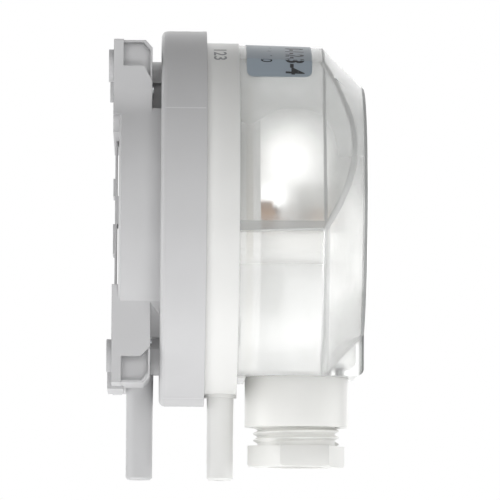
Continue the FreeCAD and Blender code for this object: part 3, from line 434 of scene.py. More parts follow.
    def material(self) -> Material:
        """Build the material; light passes it on its way to the parts inside.

        Returns:
            The material of the cover.
        """
        made = new_material(self.name)
        tree = made.node_tree
        place = add_node(tree, "ShaderNodeTexCoord", {}, {}).outputs["Object"]
        etch_and_shade = self.etch_and_shade(tree, place)
        # Painted shade where a wall is seen edge-on, read from the faces' attribute
        edge = add_node(tree, "ShaderNodeAttribute", {"attribute_name": PAINTED_EDGE_SHADE}, {})
        painted_edge_share = edge.outputs["Fac"]
        # Etching's grey, with painted shade toward the top
        etched = add_node(
            tree,
            "ShaderNodeMix",
            {"data_type": "RGBA", 6: linear(self.clear_colour), 7: linear(self.etch_and_shade_colour)},
            {0: etch_and_shade},
        )
        tone = add_node(
            tree,
            "ShaderNodeMix",
            {"data_type": "RGBA", 7: linear(self.painted_edge_colour)},
            {0: painted_edge_share, 6: etched.outputs[2]},
        )
        milk_tone = add_node(
            tree,
            "ShaderNodeMix",
            {"data_type": "RGBA", 6: linear(self.milk_colour), 7: linear(self.painted_edge_colour)},
            {0: painted_edge_share},
        )
        milk_of_etch_and_shade = add_node(
            tree, "ShaderNodeMapRange", {3: self.clear_milk, 4: self.etch_and_shade_milk}, {0: etch_and_shade}
        )
        # Painted light: a white diffuse share low on the side walls
        with_painted_light = add_node(
            tree,
            "ShaderNodeMath",
            {"operation": "ADD"},
            {0: milk_of_etch_and_shade.outputs[0], 1: self.white_painted_light(tree, place)},
        )
        milk_share = add_node(
            tree, "ShaderNodeMapRange", {4: self.painted_edge_milk}, {0: painted_edge_share, 3: with_painted_light.outputs[0]}
        )
        wall = add_node(
            tree,
            "ShaderNodeBsdfPrincipled",
            {"IOR": self.ior, "Transmission Weight": 1.0},
            {"Base Color": tone.outputs[2], "Roughness": self.haze(tree, place)},
        )
        milk = add_node(tree, "ShaderNodeBsdfDiffuse", {}, {"Color": milk_tone.outputs[2]})
        body = add_node(
            tree,
            "ShaderNodeMixShader",
            {},
            {0: milk_share.outputs[0], 1: wall.outputs[0], 2: milk.outputs[0]},
        )
        ray = add_node(tree, "ShaderNodeLightPath", {}, {})
        unseen = add_node(
            tree,
            "ShaderNodeMath",
            {"operation": "MAXIMUM"},
            {0: ray.outputs["Is Shadow Ray"], 1: ray.outputs["Is Diffuse Ray"]},
        )
        let_through = (self.passing, self.passing, self.passing, 1.0)
        passing = add_node(tree, "ShaderNodeBsdfTransparent", {"Color": let_through}, {})
        skin = add_node(
            tree,
            "ShaderNodeMixShader",
            {},
            {0: unseen.outputs[0], 1: body.outputs[0], 2: passing.outputs[0]},
        )
        add_node(tree, "ShaderNodeOutputMaterial", {}, {0: skin.outputs[0]})
        return made


@dataclass(frozen=True)
class Metal:
    """Bare or plated metal with fine lines from turning, drawing or stamping.

    The bright share is bare metal and the rest is a dull film on it.
    """

    name: str
    colour: str
    roughness: float = 0.28
    line_size: float = 0.4
    line_depth: float = 0.003
    bright: float = 1.0
    roughness_spread: float = 0.08

    def material(self) -> Material:
        """Build the material.

        Returns:
            The material of the metal.
        """
        made = new_material(self.name)
        tree = made.node_tree
        place = add_node(tree, "ShaderNodeTexCoord", {}, {}).outputs["Object"]
        line = add_node(
            tree,
            "ShaderNodeTexNoise",
            {"Scale": 1 / (self.line_size * MM), "Detail": 2.0},
            {"Vector": place},
        )
        gloss = add_node(
            tree,
            "ShaderNodeMapRange",
            {3: self.roughness - self.roughness_spread, 4: self.roughness + self.roughness_spread},
            {0: line.outputs[0]},
        )
        bump = add_node(
            tree,
            "ShaderNodeBump",
            {"Strength": 1.0, "Distance": self.line_depth * MM},
            {"Height": line.outputs[0]},
        )
        skin = add_node(
            tree,
            "ShaderNodeBsdfPrincipled",
            {"Base Color": linear(self.colour), "Metallic": self.bright},
            {"Roughness": gloss.outputs[0], "Normal": bump.outputs[0]},
        )
        add_node(tree, "ShaderNodeOutputMaterial", {}, {0: skin.outputs[0]})
        return made


class Finish(Enum):
    """Finish of each material slot of the record."""

    # Grey ABS: the satin of a textured mould.
    GREY_MOULDING = Moulding("moulded_grey_abs", "#C8C8C9", 0.44, edge_radius=0.3)
    # Off-white ABS, a little glossier than the grey.
    PALE_MOULDING = Moulding("moulded_pale_abs", "#E6E6E4", 0.40, edge_radius=0.25)
    # Natural polyamide: warm white, waxy.
    WHITE_MOULDING = Moulding("moulded_natural_polyamide", "#EBEBE8", 0.38, 1.53, edge_radius=0.2)
    # Polycarbonate, polished outside and finely etched inside, with painted light and shade.
    CLEAR_COVER = ClearMoulding("moulded_clear_polycarbonate", "#F6F6F5")
    # Silicone: soft, matte, a little dust in its skin.
    SILICONE = Moulding("moulded_silicone", "#D8D6D0", 0.62, 1.41, mottle=0.08)
    # Nitrile rubber: black, matte.
    SEAL_RUBBER = Moulding("moulded_nitrile_rubber", "#1F1F20", 0.66, 1.52, mottle=0.1)
    # Aluminium sheet with the even grey of a pressed blank.
    PLATE_ALLOY = Metal("pressed_aluminium", "#D4D6D8", 0.34)
    # Brass turned on a lathe and grown dull, brownish in the photograph.
    BRASS = Metal("turned_brass", "#C39D7C", 0.42, bright=0.3)
    # Zinc plate: pale grey, faintly cloudy.
    STEEL = Metal("zinc_plated_steel", "#BFC1C4", 0.30)
    # Drawn spring wire, darker than plate.
    SPRING_STEEL = Metal("drawn_spring_wire", "#A9ABAE", 0.26)
    # Printed polyester film: blue-grey ink under a satin laminate.
    LABEL_FILM = Moulding("printed_polyester_film", "#8F99A2", 0.46, 1.50, mottle=0.05)

    @property
    def slot_name(self) -> str:
        """Name of the record's material slot."""
        return self.name.lower()


# Ink of the label and of the dial's scale
INK = Moulding("printed_black_ink", "#1B1C1E", 0.5, 1.5)
# Figures in a moulding, laid flat: their grey, darker than the face round them, is painted
# shade.
PAINTED_FIGURE_SHADE = Moulding("figure_painted_shade", "#8D8E90", 0.5)
# Witness line where the two mould halves meet: polished; its colour, paler than the textured
# face, is painted sheen.
PAINTED_SHEEN_LINE = Moulding("painted_sheen_on_parting_line", "#DADADB", 0.3)


def finished_mesh(name: str, work: BMesh, smooth_angle: float = 35.0) -> Object:
    """Turn a bmesh into an object at the origin, with smooth shading below an angle.

    Args:
        name: Name of the piece.
        work: The bmesh, in metres; it is freed here.
        smooth_angle: Edges under this many degrees are shaded smooth.

    Returns:
        The new object, linked to the scene.
    """
    mesh = bpy.data.meshes.new(name)
    work.to_mesh(mesh)
    work.free()
    for face in mesh.polygons:
        face.use_smooth = True
    mesh.set_sharp_from_angle(angle=math.radians(smooth_angle))
    piece = bpy.data.objects.new(name, mesh)
    bpy.context.scene.collection.objects.link(piece)
    return piece


def place_piece(piece: Object, body: Body, material: Material) -> None:
    """Dress a new piece and let it ride on its body.

    Args:
        piece: The piece, at the origin.
        body: Body that carries it.
        material: Material shown on it.
    """
    piece.data.materials.clear()
    piece.data.materials.append(material)
    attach(piece, body.value)
    LOG.info("piece %s on %s, %d faces", piece.name, body.value, len(piece.data.polygons))


def merged_copy(node: str) -> BMesh:
    """Copy a solid's mesh, join its loose triangles and clear the lines inside its flat faces.

    Args:
        node: Name of the solid.

    Returns:
        The copy, ready to be shaped.
    """
    work = bmesh.new()
    work.from_mesh(frame["nodes"][node].data)
    bmesh.ops.remove_doubles(work, verts=work.verts, dist=MERGE_DISTANCE * MM)
    bmesh.ops.dissolve_limit(
        work,
        angle_limit=math.radians(FLAT_ANGLE),
        verts=work.verts,
        edges=work.edges,
        use_dissolve_boundaries=False,
    )
    return work


def cut_faces(work: BMesh, point: tuple[float, ...], way: tuple[float, ...]) -> None:
    """Cut all faces by a plane through a point, in the mesh's own unit, square to a way."""
    geometry = work.verts[:] + work.edges[:] + work.faces[:]
    bmesh.ops.bisect_plane(work, geom=geometry, plane_co=point, plane_no=way)


def round_edges(
    work: BMesh,
    edges: list[BMEdge],
    radius: float,
    segments: int,
    held_back: bool = True,
) -> list[BMFace]:
    """Round edges of a mesh.

    Args:
        work: The mesh.
        edges: Edges to round.
        radius: Width of the rounding on each side, in millimetres.
        segments: Steps across it.
        held_back: Whether the narrowest face beside an edge limits the width.

    Returns:
        The faces of the rounding.
    """
    made = bmesh.ops.bevel(
        work,
        geom=edges,
        offset=radius * MM,
        offset_type="OFFSET",
        segments=segments,
        profile=0.5,
        affect="EDGES",
        material=-1,
        clamp_overlap=held_back,
        miter_outer="ARC",
    )
    return made["faces"]


def sharp_edges(work: BMesh, angle: float) -> list[BMEdge]:
    """Edges whose faces meet at more than an angle in degrees."""
    limit = math.radians(angle)
    return [e for e in work.edges if len(e.link_faces) == 2 and e.calc_face_angle(0.0) > limit]


@dataclass
class SoftenedNode:
    """A moulded part taken from its solid, its sharp edges rounded as the mould leaves them."""

    node: str
    piece: str
    body: Body
    finish: Finish
    radius: float = 0.25
    segments: int = 2
    sharp_angle: float = 24.0

    def build(self, material: Material) -> Object:
        """Copy the solid's mesh, round its edges and stand it in for the node.

        Args:
            material: Material shown on the piece.

        Returns:
            The finished piece.
        """
        work = merged_copy(self.node)
        round_edges(work, sharp_edges(work, self.sharp_angle), self.radius, self.segments)
        piece = finished_mesh(self.piece, work)
        place_piece(piece, self.body, material)
        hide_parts(self.node)
        return piece


@dataclass
class StretchedNode:
    """A soft part taken from its solid and stood in for it; its ends and the moving body are
    listed.
    """

    node: str
    piece: str
    mover: Body
    finish: Finish
    fixed_end: tuple[float, float, float]
    moved_end: tuple[float, float, float]

    def build(self, material: Material) -> Object:
        """Copy the solid's mesh and stand it in for the node.

        Args:
            material: Material shown on the piece.

        Returns:
            The finished piece.
        """
        piece = finished_mesh(self.piece, merged_copy(self.node))
        piece.data.materials.append(material)
        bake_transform(piece)
        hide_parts(self.node)
        LOG.info("piece %s stretches with %s", piece.name, self.mover.value)
        return piece


# Soft parts: the range spring, which shortens as its nut moves, and the gland's seal, which
# the washer presses.
STRETCHED = (
    StretchedNode(
        "range_spring",
        "range_spring_coils",
        Body.NUT,
        Finish.SPRING_STEEL,
        fixed_end=(37.7, 0.0, 0.0),
        moved_end=(46.0, 0.0, 0.0),
    ),
    StretchedNode(
        "gland_seal",
        "gland_seal_ring",
        Body.CARRIAGE,
        Finish.SEAL_RUBBER,
        fixed_end=(42.9, 0.0, -39.0),
        moved_end=(42.9, 0.0, -42.6),
    ),
)


@dataclass
class CoverShell:
    """Clear cover from its solid: rounded edges, and painted shade where the wall is seen edge-on.

    The painted shade lies on the curve where the flats meet the cone, on a strip along the flats'
    lower edges, on a line round the shoulder, on the rim and on the outline of the gland box's
    corner.
    """

    flat: float = 32.5
    flat_angles: tuple[float, ...] = (26.5, 153.5)
    flat_room: float = 0.05
    # Curve between flat and cone
    curve_radius: float = 0.8
    curve_segments: int = 4
    curve_sharpness: float = 14.0
    curve_room: float = 0.1
    curve_painted_shade: float = 0.5
    # All other edges of the shell
    edge_radius: float = 0.5
    edge_segments: int = 3
    edge_sharpness: float = 22.0
    painted_edge_shade: float = 0.40
    rear_x: float = 31.0
    # Line round the shoulder
    shoulder_x: float = 48.1
    line_width: float = 0.7
    line_painted_shade: float = 0.52
    # Strip along the lower edge of each flat
    strip_z: tuple[float, float] = (-5.6, -3.3)
    strip_y: float = 37.6
    strip_painted_shade: float = 0.46
    # Rim of the front; faces whose normal points forward more than this are the front itself
    rim_x: float = 56.9
    rim_painted_shade: float = 0.85
    front_normal: float = 0.97
    # Gland box and the outline of its front corner
    box_z: float = -31.0
    corner_x: float = 54.0
    outline_width: float = 0.5
    # Wider smoothing would tilt the normals of the flats, which would then act as prisms.
    smooth_angle: float = 5.0

    def on_flat(self, vertex: BMVert) -> bool:
        """Tell whether a vertex lies on the outside of one of the flats.

        Args:
            vertex: The vertex.

        Returns:
            Whether it lies there.
        """
        reach = [
            vertex.co.y * math.cos(math.radians(a)) + vertex.co.z * math.sin(math.radians(a))
            for a in self.flat_angles
        ]
        return abs(max(reach) - self.flat * MM) < self.flat_room * MM

    def round_all(self, work: BMesh, painted_shade_layer: BMLayerItem) -> None:
        """Round the flat-to-cone curve, then all other sharp edges, and give them painted shade.

        Args:
            work: The shell.
            painted_shade_layer: Layer of the faces' painted shade.
        """
        least_x = (self.shoulder_x - self.curve_room) * MM
        curve = [
            e
            for e in sharp_edges(work, self.curve_sharpness)
            if all(self.on_flat(v) and v.co.x > least_x for v in e.verts)
        ]
        banded = round_edges(work, curve, self.curve_radius, self.curve_segments, held_back=False)
        LOG.info("cover curve: %d faces on %d edges", len(banded), len(curve))
        for face in banded:
            face[painted_shade_layer] = self.curve_painted_shade
        edges = sharp_edges(work, self.edge_sharpness)
        for face in round_edges(work, edges, self.edge_radius, self.edge_segments):
            middle = face.calc_center_median() / MM
            if middle.x > self.rear_x:
                corner = middle.z < self.box_z and middle.x > self.corner_x
                face[painted_shade_layer] = max(face[painted_shade_layer], 1.0 if corner else self.painted_edge_shade)

    def paint_shade_by_place(self, work: BMesh, painted_shade_layer: BMLayerItem) -> None:
        """Cut the faces along line, strips, rim and the corner's outline; give them painted shade.

        Args:
            work: The shell.
            painted_shade_layer: Layer of the faces' painted shade.
        """
        for side in (-0.5, 0.5):
            cut_faces(work, ((self.shoulder_x + side * self.line_width) * MM, 0, 0), (1, 0, 0))
        for height in self.strip_z:
            cut_faces(work, (0, 0, height * MM), (0, 0, 1))
        box = [v.co for v in work.verts if v.co.z < self.box_z * MM]
        front = max(c.x for c in box) - self.outline_width * MM
        foot = min(c.z for c in box) + self.outline_width * MM
        cut_faces(work, (front, 0, 0), (1, 0, 0))
        cut_faces(work, (self.rim_x * MM, 0, 0), (1, 0, 0))
        cut_faces(work, (0, 0, foot), (0, 0, 1))
        low, high = self.strip_z
        for face in work.faces:
            x, y, z = face.calc_center_median() / MM
            outlined = x * MM > front or (z * MM < foot and x > self.corner_x)
            if abs(x - self.shoulder_x) < self.line_width / 2:
                face[painted_shade_layer] = self.line_painted_shade
            elif x > self.rim_x and abs(face.normal.x) < self.front_normal and z > self.box_z:
                face[painted_shade_layer] = self.rim_painted_shade
            elif x < self.shoulder_x and abs(y) > self.strip_y and low < z < high:
                face[painted_shade_layer] = self.strip_painted_shade
            elif z < self.box_z and outlined:
                face[painted_shade_layer] = 1.0

    def build(self, material: Material) -> Object:
        """Round the shell, give it painted shade and stand it in for the solid.

        Args:
            material: Material of the clear moulding.

        Returns:
            The finished piece.
        """
        work = merged_copy("clear_cover")
        painted_shade_layer = work.faces.layers.float.new(PAINTED_EDGE_SHADE)
        self.round_all(work, painted_shade_layer)
        self.paint_shade_by_place(work, painted_shade_layer)
        piece = finished_mesh("clear_cover_shell", work, self.smooth_angle)
        place_piece(piece, Body.HOUSING, material)
        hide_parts("clear_cover")
        return piece


@dataclass
class FormedText:
    """Figures set flat, then laid on a curved or flat face of the part.

    Lay turns a run along the row and a height above it into a point, in millimetres. Cuts at
    some runs let a row bend there.
    """

    name: str
    words: str
    height: float
    body: Body
    finish: Finish
    lay: Callable[[float, float], Vector]
    cut_at: tuple[float, ...] = ()
    width: float = 1.0
    weight: float = 0.0
    align: str = "CENTER"
    # Steps of each curve in the outline of a figure
    steps: int = 4

    def build(self, material: Material) -> Object:
        """Set the figures and move every vertex to its place.

        Args:
            material: Material of the print.

        Returns:
            The finished piece.
        """
        curve = bpy.data.curves.new(self.name + "_outline", "FONT")
        curve.body = self.words
        curve.size = self.height / CAP_SHARE
        curve.offset = self.weight
        curve.align_x = self.align
        curve.resolution_u = self.steps
        setter = bpy.data.objects.new(self.name + "_setter", curve)
        bpy.context.scene.collection.objects.link(setter)
        bpy.context.view_layer.update()
        graph = bpy.context.evaluated_depsgraph_get()
        flat = bpy.data.meshes.new_from_object(setter.evaluated_get(graph))
        bpy.data.objects.remove(setter)
        work = bmesh.new()
        work.from_mesh(flat)
        bmesh.ops.scale(work, verts=work.verts, vec=(self.width, 1, 1))
        for along in self.cut_at:
            cut_faces(work, (along, 0, 0), (1, 0, 0))
        for vertex in work.verts:
            vertex.co = self.lay(vertex.co.x, vertex.co.y) * MM
        piece = finished_mesh(self.name, work)
        place_piece(piece, self.body, material)
        return piece


@dataclass
class CoverLabel:
    """Print on the film that wraps from the cover's round top over its near flat."""

    rear_radius: float = 39.5
    shoulder_radius: float = 39.05
    rear_x: float = 29.15
    shoulder_x: float = 48.1
    flat: float = 32.5
    flat_angle: float = 153.5
    lift: float = 0.17
    big_height: float = 4.0
    big_x: float = 39.6
    big_end: float = 3.8
    small_height: float = 2.5
    small_x: float = 34.0
    small_end: float = 0.8

    def lay(self, x: float, down: float) -> Vector:
        """Point on the film.

        Args:
            x: Distance from the wall plane.
            down: Distance down the flat from its upper edge, less than zero on the round top.

        Returns:
            The point in millimetres.
        """
        share = (x - self.rear_x) / (self.shoulder_x - self.rear_x)
        radius = self.rear_radius + (self.shoulder_radius - self.rear_radius) * share
        middle = math.radians(self.flat_angle)
        edge = middle - math.acos(self.flat / radius)
        if down > 0:
            start = math.sqrt(radius**2 - self.flat**2)
            out = Vector((0, math.cos(middle), math.sin(middle)))
            along = Vector((0, -math.sin(middle), math.cos(middle)))
            point = out * (self.flat + self.lift) + along * (down - start)
        else:
            angle = edge + down / radius
            point = Vector((0, math.cos(angle), math.sin(angle))) * (radius + self.lift)
        point.x = x
        return point

    def build(self, ink: Material) -> None:
        """Set a large and a small row of figures that read down the film.

        Args:
            ink: Material of the print.
        """
        big = FormedText(
            "label_figures_large",
            "0-1-2-3-4",
            self.big_height,
            Body.HOUSING,
            Finish.LABEL_FILM,
            lambda run, up: self.lay(self.big_x + up, run + self.big_end),
            cut_at=(-self.big_end,),
            width=0.62,
            weight=0.14,
            align="RIGHT",
        )
        small = FormedText(
            "label_figures_small",
            "0 - 20 - 300",
            self.small_height,
            Body.HOUSING,
            Finish.LABEL_FILM,
            lambda run, up: self.lay(self.small_x + up, run + self.small_end),
            cut_at=(-self.small_end,),
            width=0.6,
            weight=0.04,
            align="RIGHT",
        )
        big.build(ink)
        small.build(ink)


@dataclass
class RingMarks:
    """Figures in painted shade on the pale ring, mould lines in painted sheen on the grey one."""

    pale_radius: float = 39.95
    figure_x: float = 23.5
    figure_height: float = 2.8
    figure_angle: float = 116.6
    grey_radius: float = 42.6
    line_heights: tuple[float, ...] = (21.5, -41.2)
    line_from_x: float = 12.6
    line_to_x: float = 21.6
    line_width: float = 0.3
    lift: float = 0.03

    def lay(self, run: float, up: float) -> Vector:
        """Point of a figure on the pale ring.

        Args:
            run: Distance round the ring.
            up: Distance from the foot of the figures toward the front.

        Returns:
            The point in millimetres.
        """
        angle = math.radians(self.figure_angle) + run / self.pale_radius
        out = Vector((0, math.cos(angle), math.sin(angle))) * (self.pale_radius + self.lift)
        return out + Vector((self.figure_x + up, 0, 0))

    def line(self, name: str, height: float, material: Material) -> None:
        """Add one line of painted sheen along the grey ring.

        Args:
            name: Name of the piece.
            height: Place of the line above the axis, in millimetres.
            material: Material of the line.
        """
        angle = math.pi - math.asin(height / self.grey_radius)
        length = self.line_to_x - self.line_from_x
        out = Vector((0, math.cos(angle), math.sin(angle)))
        middle = out * (self.grey_radius + self.lift)
        middle.x = self.line_from_x + length / 2
        turn = Matrix.Rotation(angle - math.pi / 2, 4, "X")
        work = bmesh.new()
        bmesh.ops.create_grid(work, x_segments=1, y_segments=1, size=0.5)
        bmesh.ops.scale(work, verts=work.verts, vec=(length * MM, self.line_width * MM, 1))
        bmesh.ops.transform(work, verts=work.verts, matrix=Matrix.Translation(middle * MM) @ turn)
        piece = finished_mesh(name, work)
        place_piece(piece, Body.HOUSING, material)

    def build(self, shade: Material, witness: Material) -> None:
        """Set the figures and the lines.

        Args:
            shade: Material of the figures, in painted shade.
            witness: Material of the lines, in painted sheen.
        """
        figures = FormedText(
            "ring_figures",
            "123",
            self.figure_height,
            Body.HOUSING,
            Finish.PALE_MOULDING,
            self.lay,
            width=1.3,
            weight=0.06,
        )
        # Flat figures whose darker grey is painted shade
        figures.build(shade)
        # Lines where the mould halves meet, in painted sheen
        for number, height in enumerate(self.line_heights, 1):
            self.line(f"mould_line_{number}", height, witness)


@dataclass
class DialScale:
    """Printed scale on the front of the setting dial."""

    face_x: float = 56.2
    tick_radius: float = 13.6
    tick_length: float = 1.4
    tick_width: float = 0.3
    figure_radius: float = 10.6
    figure_height: float = 1.9
    sweep: float = 270.0
    steps: int = 10
    lift: float = 0.03

    def angle(self, step: int) -> float:
        """Angle of a step round the dial, clockwise from the lower left as seen from the front."""
        return math.radians(90 + self.sweep / 2 - self.sweep * step / self.steps)

    def build(self, ink: Material) -> None:
        """Print the ticks and every second figure.

        Args:
            ink: Material of the print.
        """
        work = bmesh.new()
        for step in range(self.steps + 1):
            tick = bmesh.ops.create_grid(work, x_segments=1, y_segments=1, size=0.5)["verts"]
            bmesh.ops.scale(work, verts=tick, vec=(self.tick_length * MM, self.tick_width * MM, 1))
            bmesh.ops.translate(work, verts=tick, vec=(self.tick_radius * MM, 0, 0))
            bmesh.ops.rotate(work, verts=tick, matrix=Matrix.Rotation(self.angle(step), 3, "Z"))
        quarter = math.radians(90)
        stand = Matrix.Rotation(quarter, 4, "Z") @ Matrix.Rotation(quarter, 4, "X")
        place = Matrix.Translation(((self.face_x + self.lift) * MM, 0, 0))
        bmesh.ops.transform(work, verts=work.verts, matrix=place @ stand)
        piece = finished_mesh("dial_ticks", work)
        place_piece(piece, Body.DIAL, ink)
        for step in range(0, self.steps + 1, 2):
            self.figure(step, ink)

    def figure(self, step: int, ink: Material) -> None:
        """Print one figure, upright toward the rim.

        Args:
            step: Step of the scale, which is also the figure.
            ink: Material of the print.
        """
        angle = self.angle(step)
        out = Vector((0, math.cos(angle), math.sin(angle)))
        right = Vector((0, math.sin(angle), -math.cos(angle)))
        centre = Vector((self.face_x + self.lift, 0, 0))
        low = self.figure_radius - self.figure_height / 2
        text = FormedText(
            f"dial_figure_{step}",
            str(step),
            self.figure_height,
            Body.DIAL,
            Finish.WHITE_MOULDING,
            lambda run, up: centre + right * run + out * (low + up),
        )
        text.build(ink)


@dataclass
class GlandScrewDetail:
    """Compression screw of the cable gland: hexagon head, core tube and M20 x 1.5 thread."""

    centre_x: float = 42.9
    head_top_z: float = -51.4
    head_room: float = 0.02
    nose_top_z: float = -43.4
    core_radius: float = 8.75
    crest_radius: float = 9.7
    crest_room: float = 0.1
    pitch: float = 1.5
    edge: float = 0.35
    edge_segments: int = 2
    sharp_angle: float = 30.0
    # The thread starts above the head and is shorter than the core, in which its root sinks.
    thread_start: float = 0.5
    thread_shorter: float = 1.4
    root_sink: float = 0.1
    # Half widths of the tooth as shares of the pitch
    root_share: float = 0.46
    tip_share: float = 0.07
    # Steps of one turn
    steps: int = 96
    # Faces that lie farther out than this share of the root's radius are the thread's own.
    ridge_share: float = 0.99

    def build(self, material: Material) -> Object:
        """Build the whole screw and stand it in for the solid.

        Args:
            material: Material of the moulding.

        Returns:
            The finished piece.
        """
        work = merged_copy("gland_screw")
        centre = Vector((self.centre_x * MM, 0, 0))
        low = (self.head_top_z - self.head_room) * MM
        for vertex in work.verts:
            arm = Vector((vertex.co.x - centre.x, vertex.co.y, 0))
            off_crest = abs(arm.length - self.crest_radius * MM)
            if vertex.co.z > low and off_crest < self.crest_room * MM:
                arm.normalize()
                vertex.co.x = centre.x + arm.x * self.core_radius * MM
                vertex.co.y = arm.y * self.core_radius * MM
        round_edges(work, sharp_edges(work, self.sharp_angle), self.edge, self.edge_segments)
        self.thread(work)
        piece = finished_mesh("threaded_gland_screw", work)
        place_piece(piece, Body.TURNER, material)
        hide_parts("gland_screw")
        return piece

    def thread(self, work: BMesh) -> None:
        """Add the helical ridge, swept from one tooth and closed at both ends.

        Args:
            work: Mesh of the screw.
        """
        start_z = (self.head_top_z + self.thread_start) * MM
        length = self.nose_top_z - self.head_top_z - self.thread_shorter
        turns = length / self.pitch
        root = (self.core_radius - self.root_sink) * MM
        crest = self.crest_radius * MM
        half = self.pitch * self.root_share * MM
        tip = self.pitch * self.tip_share * MM
        outline = [(root, -half), (crest, -tip), (crest, tip), (root, half)]
        corners = [work.verts.new((self.centre_x * MM + r, 0, start_z + h)) for r, h in outline]
        tooth = work.faces.new(corners)
        steps = int(self.steps * turns)
        made = bmesh.ops.spin(
            work,
            geom=[tooth, *tooth.edges, *tooth.verts],
            cent=(self.centre_x * MM, 0, 0),
            axis=(0, 0, 1),
            dvec=(0, 0, length * MM / steps),
            angle=math.tau * turns,
            steps=steps,
            use_merge=False,
            use_duplicate=False,
        )
        ends = [g for g in made["geom_last"] if isinstance(g, BMFace)]
        LOG.info("thread of %.1f turns with %d end faces", turns, len(ends))
        middle = Vector((self.centre_x * MM, 0))
        least = root * self.ridge_share
        ridge = [f for f in work.faces if all((v.co.xy - middle).length > least for v in f.verts)]
        bmesh.ops.recalc_face_normals(work, faces=ridge)


@dataclass(frozen=True)
class Lamp:
    """Soft lamp; its strength is the share of a plain level that it gives a face turned to it.

    An azimuth of zero is the camera's side and one of ninety degrees lies before the cover.
    """

    name: str
    strength: float
    elevation: float
    azimuth: float
    distance: float
    width: float
    height: float


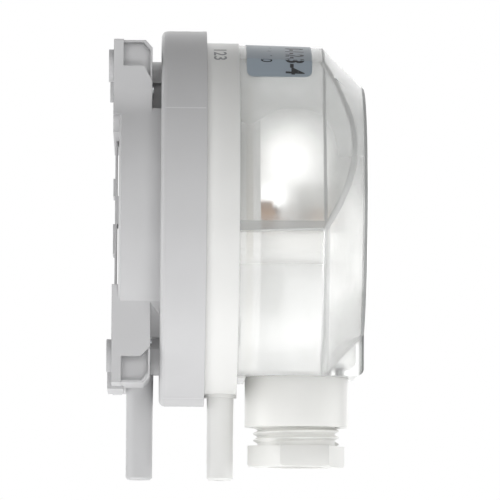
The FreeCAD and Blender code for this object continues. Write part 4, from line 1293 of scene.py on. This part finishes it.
@dataclass
class Studio:
    """Pale floor, white surround, soft lamps and the camera of the photograph."""

    camera_at: tuple[float, float, float] = (9.503, -1124.0, -94.67)
    aim: tuple[float, float, float] = (32.18, 0.0, -6.92)
    roll: float = 0.4
    lens: float = 357.6
    sensor: float = 36.0
    farthest: float = 20000.0
    floor_z: float = -620.0
    floor_size: float = 6000.0
    floor_colour: str = "#EDEDED"
    # Light that the camera alone sees on the floor, one being white
    floor_glow: float = 0.8
    # Light of the surround on the part, one being the white that is seen
    surround: float = 0.02
    lamps: tuple[Lamp, ...] = (
        Lamp("high", 0.12, 45.0, 0.0, 900.0, 900.0, 360.0),
        Lamp("level", 0.35, 15.0, 0.0, 900.0, 900.0, 360.0),
        Lamp("key", 0.32, -22.0, 0.0, 900.0, 900.0, 300.0),
        Lamp("low", 0.59, -80.0, 0.0, 560.0, 800.0, 300.0),
        Lamp("back", 1.5, 0.0, 180.0, 1000.0, 2400.0, 2000.0),
        Lamp("front", 0.44, -8.0, 90.0, 900.0, 600.0, 600.0),
        Lamp("wall", 0.50, -8.0, -90.0, 900.0, 600.0, 600.0),
    )

    def camera(self) -> None:
        """Make the camera and give it to the scene."""
        data = bpy.data.cameras.new("camera")
        data.lens = self.lens
        data.sensor_width = self.sensor
        data.clip_end = self.farthest * MM
        camera = bpy.data.objects.new("camera", data)
        at = Vector(self.camera_at) * MM
        toward = Vector(self.aim) * MM - at
        turn = toward.to_track_quat("-Z", "Y") @ Quaternion((0, 0, 1), math.radians(self.roll))
        camera.matrix_world = Matrix.Translation(at) @ turn.to_matrix().to_4x4()
        bpy.context.scene.collection.objects.link(camera)
        bpy.context.scene.camera = camera

    def place_lamp(self, lamp: Lamp) -> None:
        """Add a soft lamp that points at the part.

        Args:
            lamp: The lamp's strength, place and size.
        """
        rise = math.radians(lamp.elevation)
        side = math.radians(lamp.azimuth)
        level = math.cos(rise)
        toward = Vector((level * math.sin(side), -level * math.cos(side), math.sin(rise)))
        data = bpy.data.lights.new(lamp.name, "AREA")
        data.shape = "RECTANGLE"
        data.energy = lamp.strength * (math.pi * lamp.distance * MM) ** 2
        data.size = lamp.width * MM
        data.size_y = lamp.height * MM
        made = bpy.data.objects.new(lamp.name, data)
        place = (Vector(self.aim) + toward * lamp.distance) * MM
        turn = (-toward).to_track_quat("-Z", "Y")
        made.matrix_world = Matrix.Translation(place) @ turn.to_matrix().to_4x4()
        made.visible_camera = False
        bpy.context.scene.collection.objects.link(made)

    def world(self) -> None:
        """White where it is seen directly, in gloss or through the cover, and faint as light."""
        world = bpy.data.worlds.new("surround")
        world.use_nodes = True
        tree = world.node_tree
        tree.nodes.clear()
        ray = add_node(tree, "ShaderNodeLightPath", {}, {})
        seen = add_node(
            tree,
            "ShaderNodeMath",
            {"operation": "MAXIMUM"},
            {0: ray.outputs["Is Camera Ray"], 1: ray.outputs["Is Glossy Ray"]},
        )
        all_seen = add_node(
            tree,
            "ShaderNodeMath",
            {"operation": "MAXIMUM"},
            {0: seen.outputs[0], 1: ray.outputs["Is Transmission Ray"]},
        )
        strength = add_node(
            tree, "ShaderNodeMapRange", {3: self.surround, 4: 1.0}, {0: all_seen.outputs[0]}
        )
        sky = add_node(
            tree, "ShaderNodeBackground", {"Color": (1, 1, 1, 1)}, {"Strength": strength.outputs[0]}
        )
        add_node(tree, "ShaderNodeOutputWorld", {}, {0: sky.outputs[0]})
        bpy.context.scene.world = world

    def floor(self) -> None:
        """Plain pale floor well below the part, which is fixed to a wall."""
        work = bmesh.new()
        bmesh.ops.create_grid(
            work,
            x_segments=1,
            y_segments=1,
            size=self.floor_size * MM,
            matrix=Matrix.Translation((0, 0, self.floor_z * MM)),
        )
        floor = finished_mesh("floor", work)
        paper = new_material("pale_studio_paper")
        tree = paper.node_tree
        ray = add_node(tree, "ShaderNodeLightPath", {}, {})
        matte = add_node(tree, "ShaderNodeBsdfDiffuse", {"Color": linear(self.floor_colour)}, {})
        glow = add_node(tree, "ShaderNodeEmission", {"Strength": self.floor_glow}, {})
        lit = add_node(tree, "ShaderNodeAddShader", {}, {0: matte.outputs[0], 1: glow.outputs[0]})
        skin = add_node(
            tree,
            "ShaderNodeMixShader",
            {},
            {0: ray.outputs["Is Camera Ray"], 1: matte.outputs[0], 2: lit.outputs[0]},
        )
        add_node(tree, "ShaderNodeOutputMaterial", {}, {0: skin.outputs[0]})
        floor.data.materials.append(paper)

    def build(self) -> None:
        """Make the whole studio."""
        bpy.context.scene.view_settings.view_transform = "Standard"
        self.camera()
        self.world()
        self.floor()
        for lamp in self.lamps:
            self.place_lamp(lamp)


def dress_nodes(materials: dict[Finish, Material]) -> None:
    """Give every solid of the frame the finish of its slot.

    Args:
        materials: Built material of each finish.
    """
    finishes = {finish.slot_name: finish for finish in Finish}
    for part in frame["record"]["subparts"]:
        node = frame["nodes"][part["node"]]
        material = materials[finishes[part["material_slot"]]]
        if not node.material_slots:
            node.data.materials.append(material)
        for place in node.material_slots:
            place.material = material


def main() -> None:
    """Build the studio, the finishes and the pieces in order."""
    logging.basicConfig(level=logging.INFO, format="%(message)s")
    Studio().build()
    materials = {finish: finish.value.material() for finish in Finish}
    ink = INK.material()
    dress_nodes(materials)
    CoverShell().build(materials[Finish.CLEAR_COVER])
    collar = SoftenedNode("gland_body", "gland_collar", Body.HOUSING, Finish.WHITE_MOULDING)
    collar.build(materials[Finish.WHITE_MOULDING])
    GlandScrewDetail().build(materials[Finish.WHITE_MOULDING])
    for soft in STRETCHED:
        soft.build(materials[soft.finish])
    CoverLabel().build(ink)
    RingMarks().build(PAINTED_FIGURE_SHADE.material(), PAINTED_SHEEN_LINE.material())
    DialScale().build(ink)


if __name__ == "__main__":
    main()
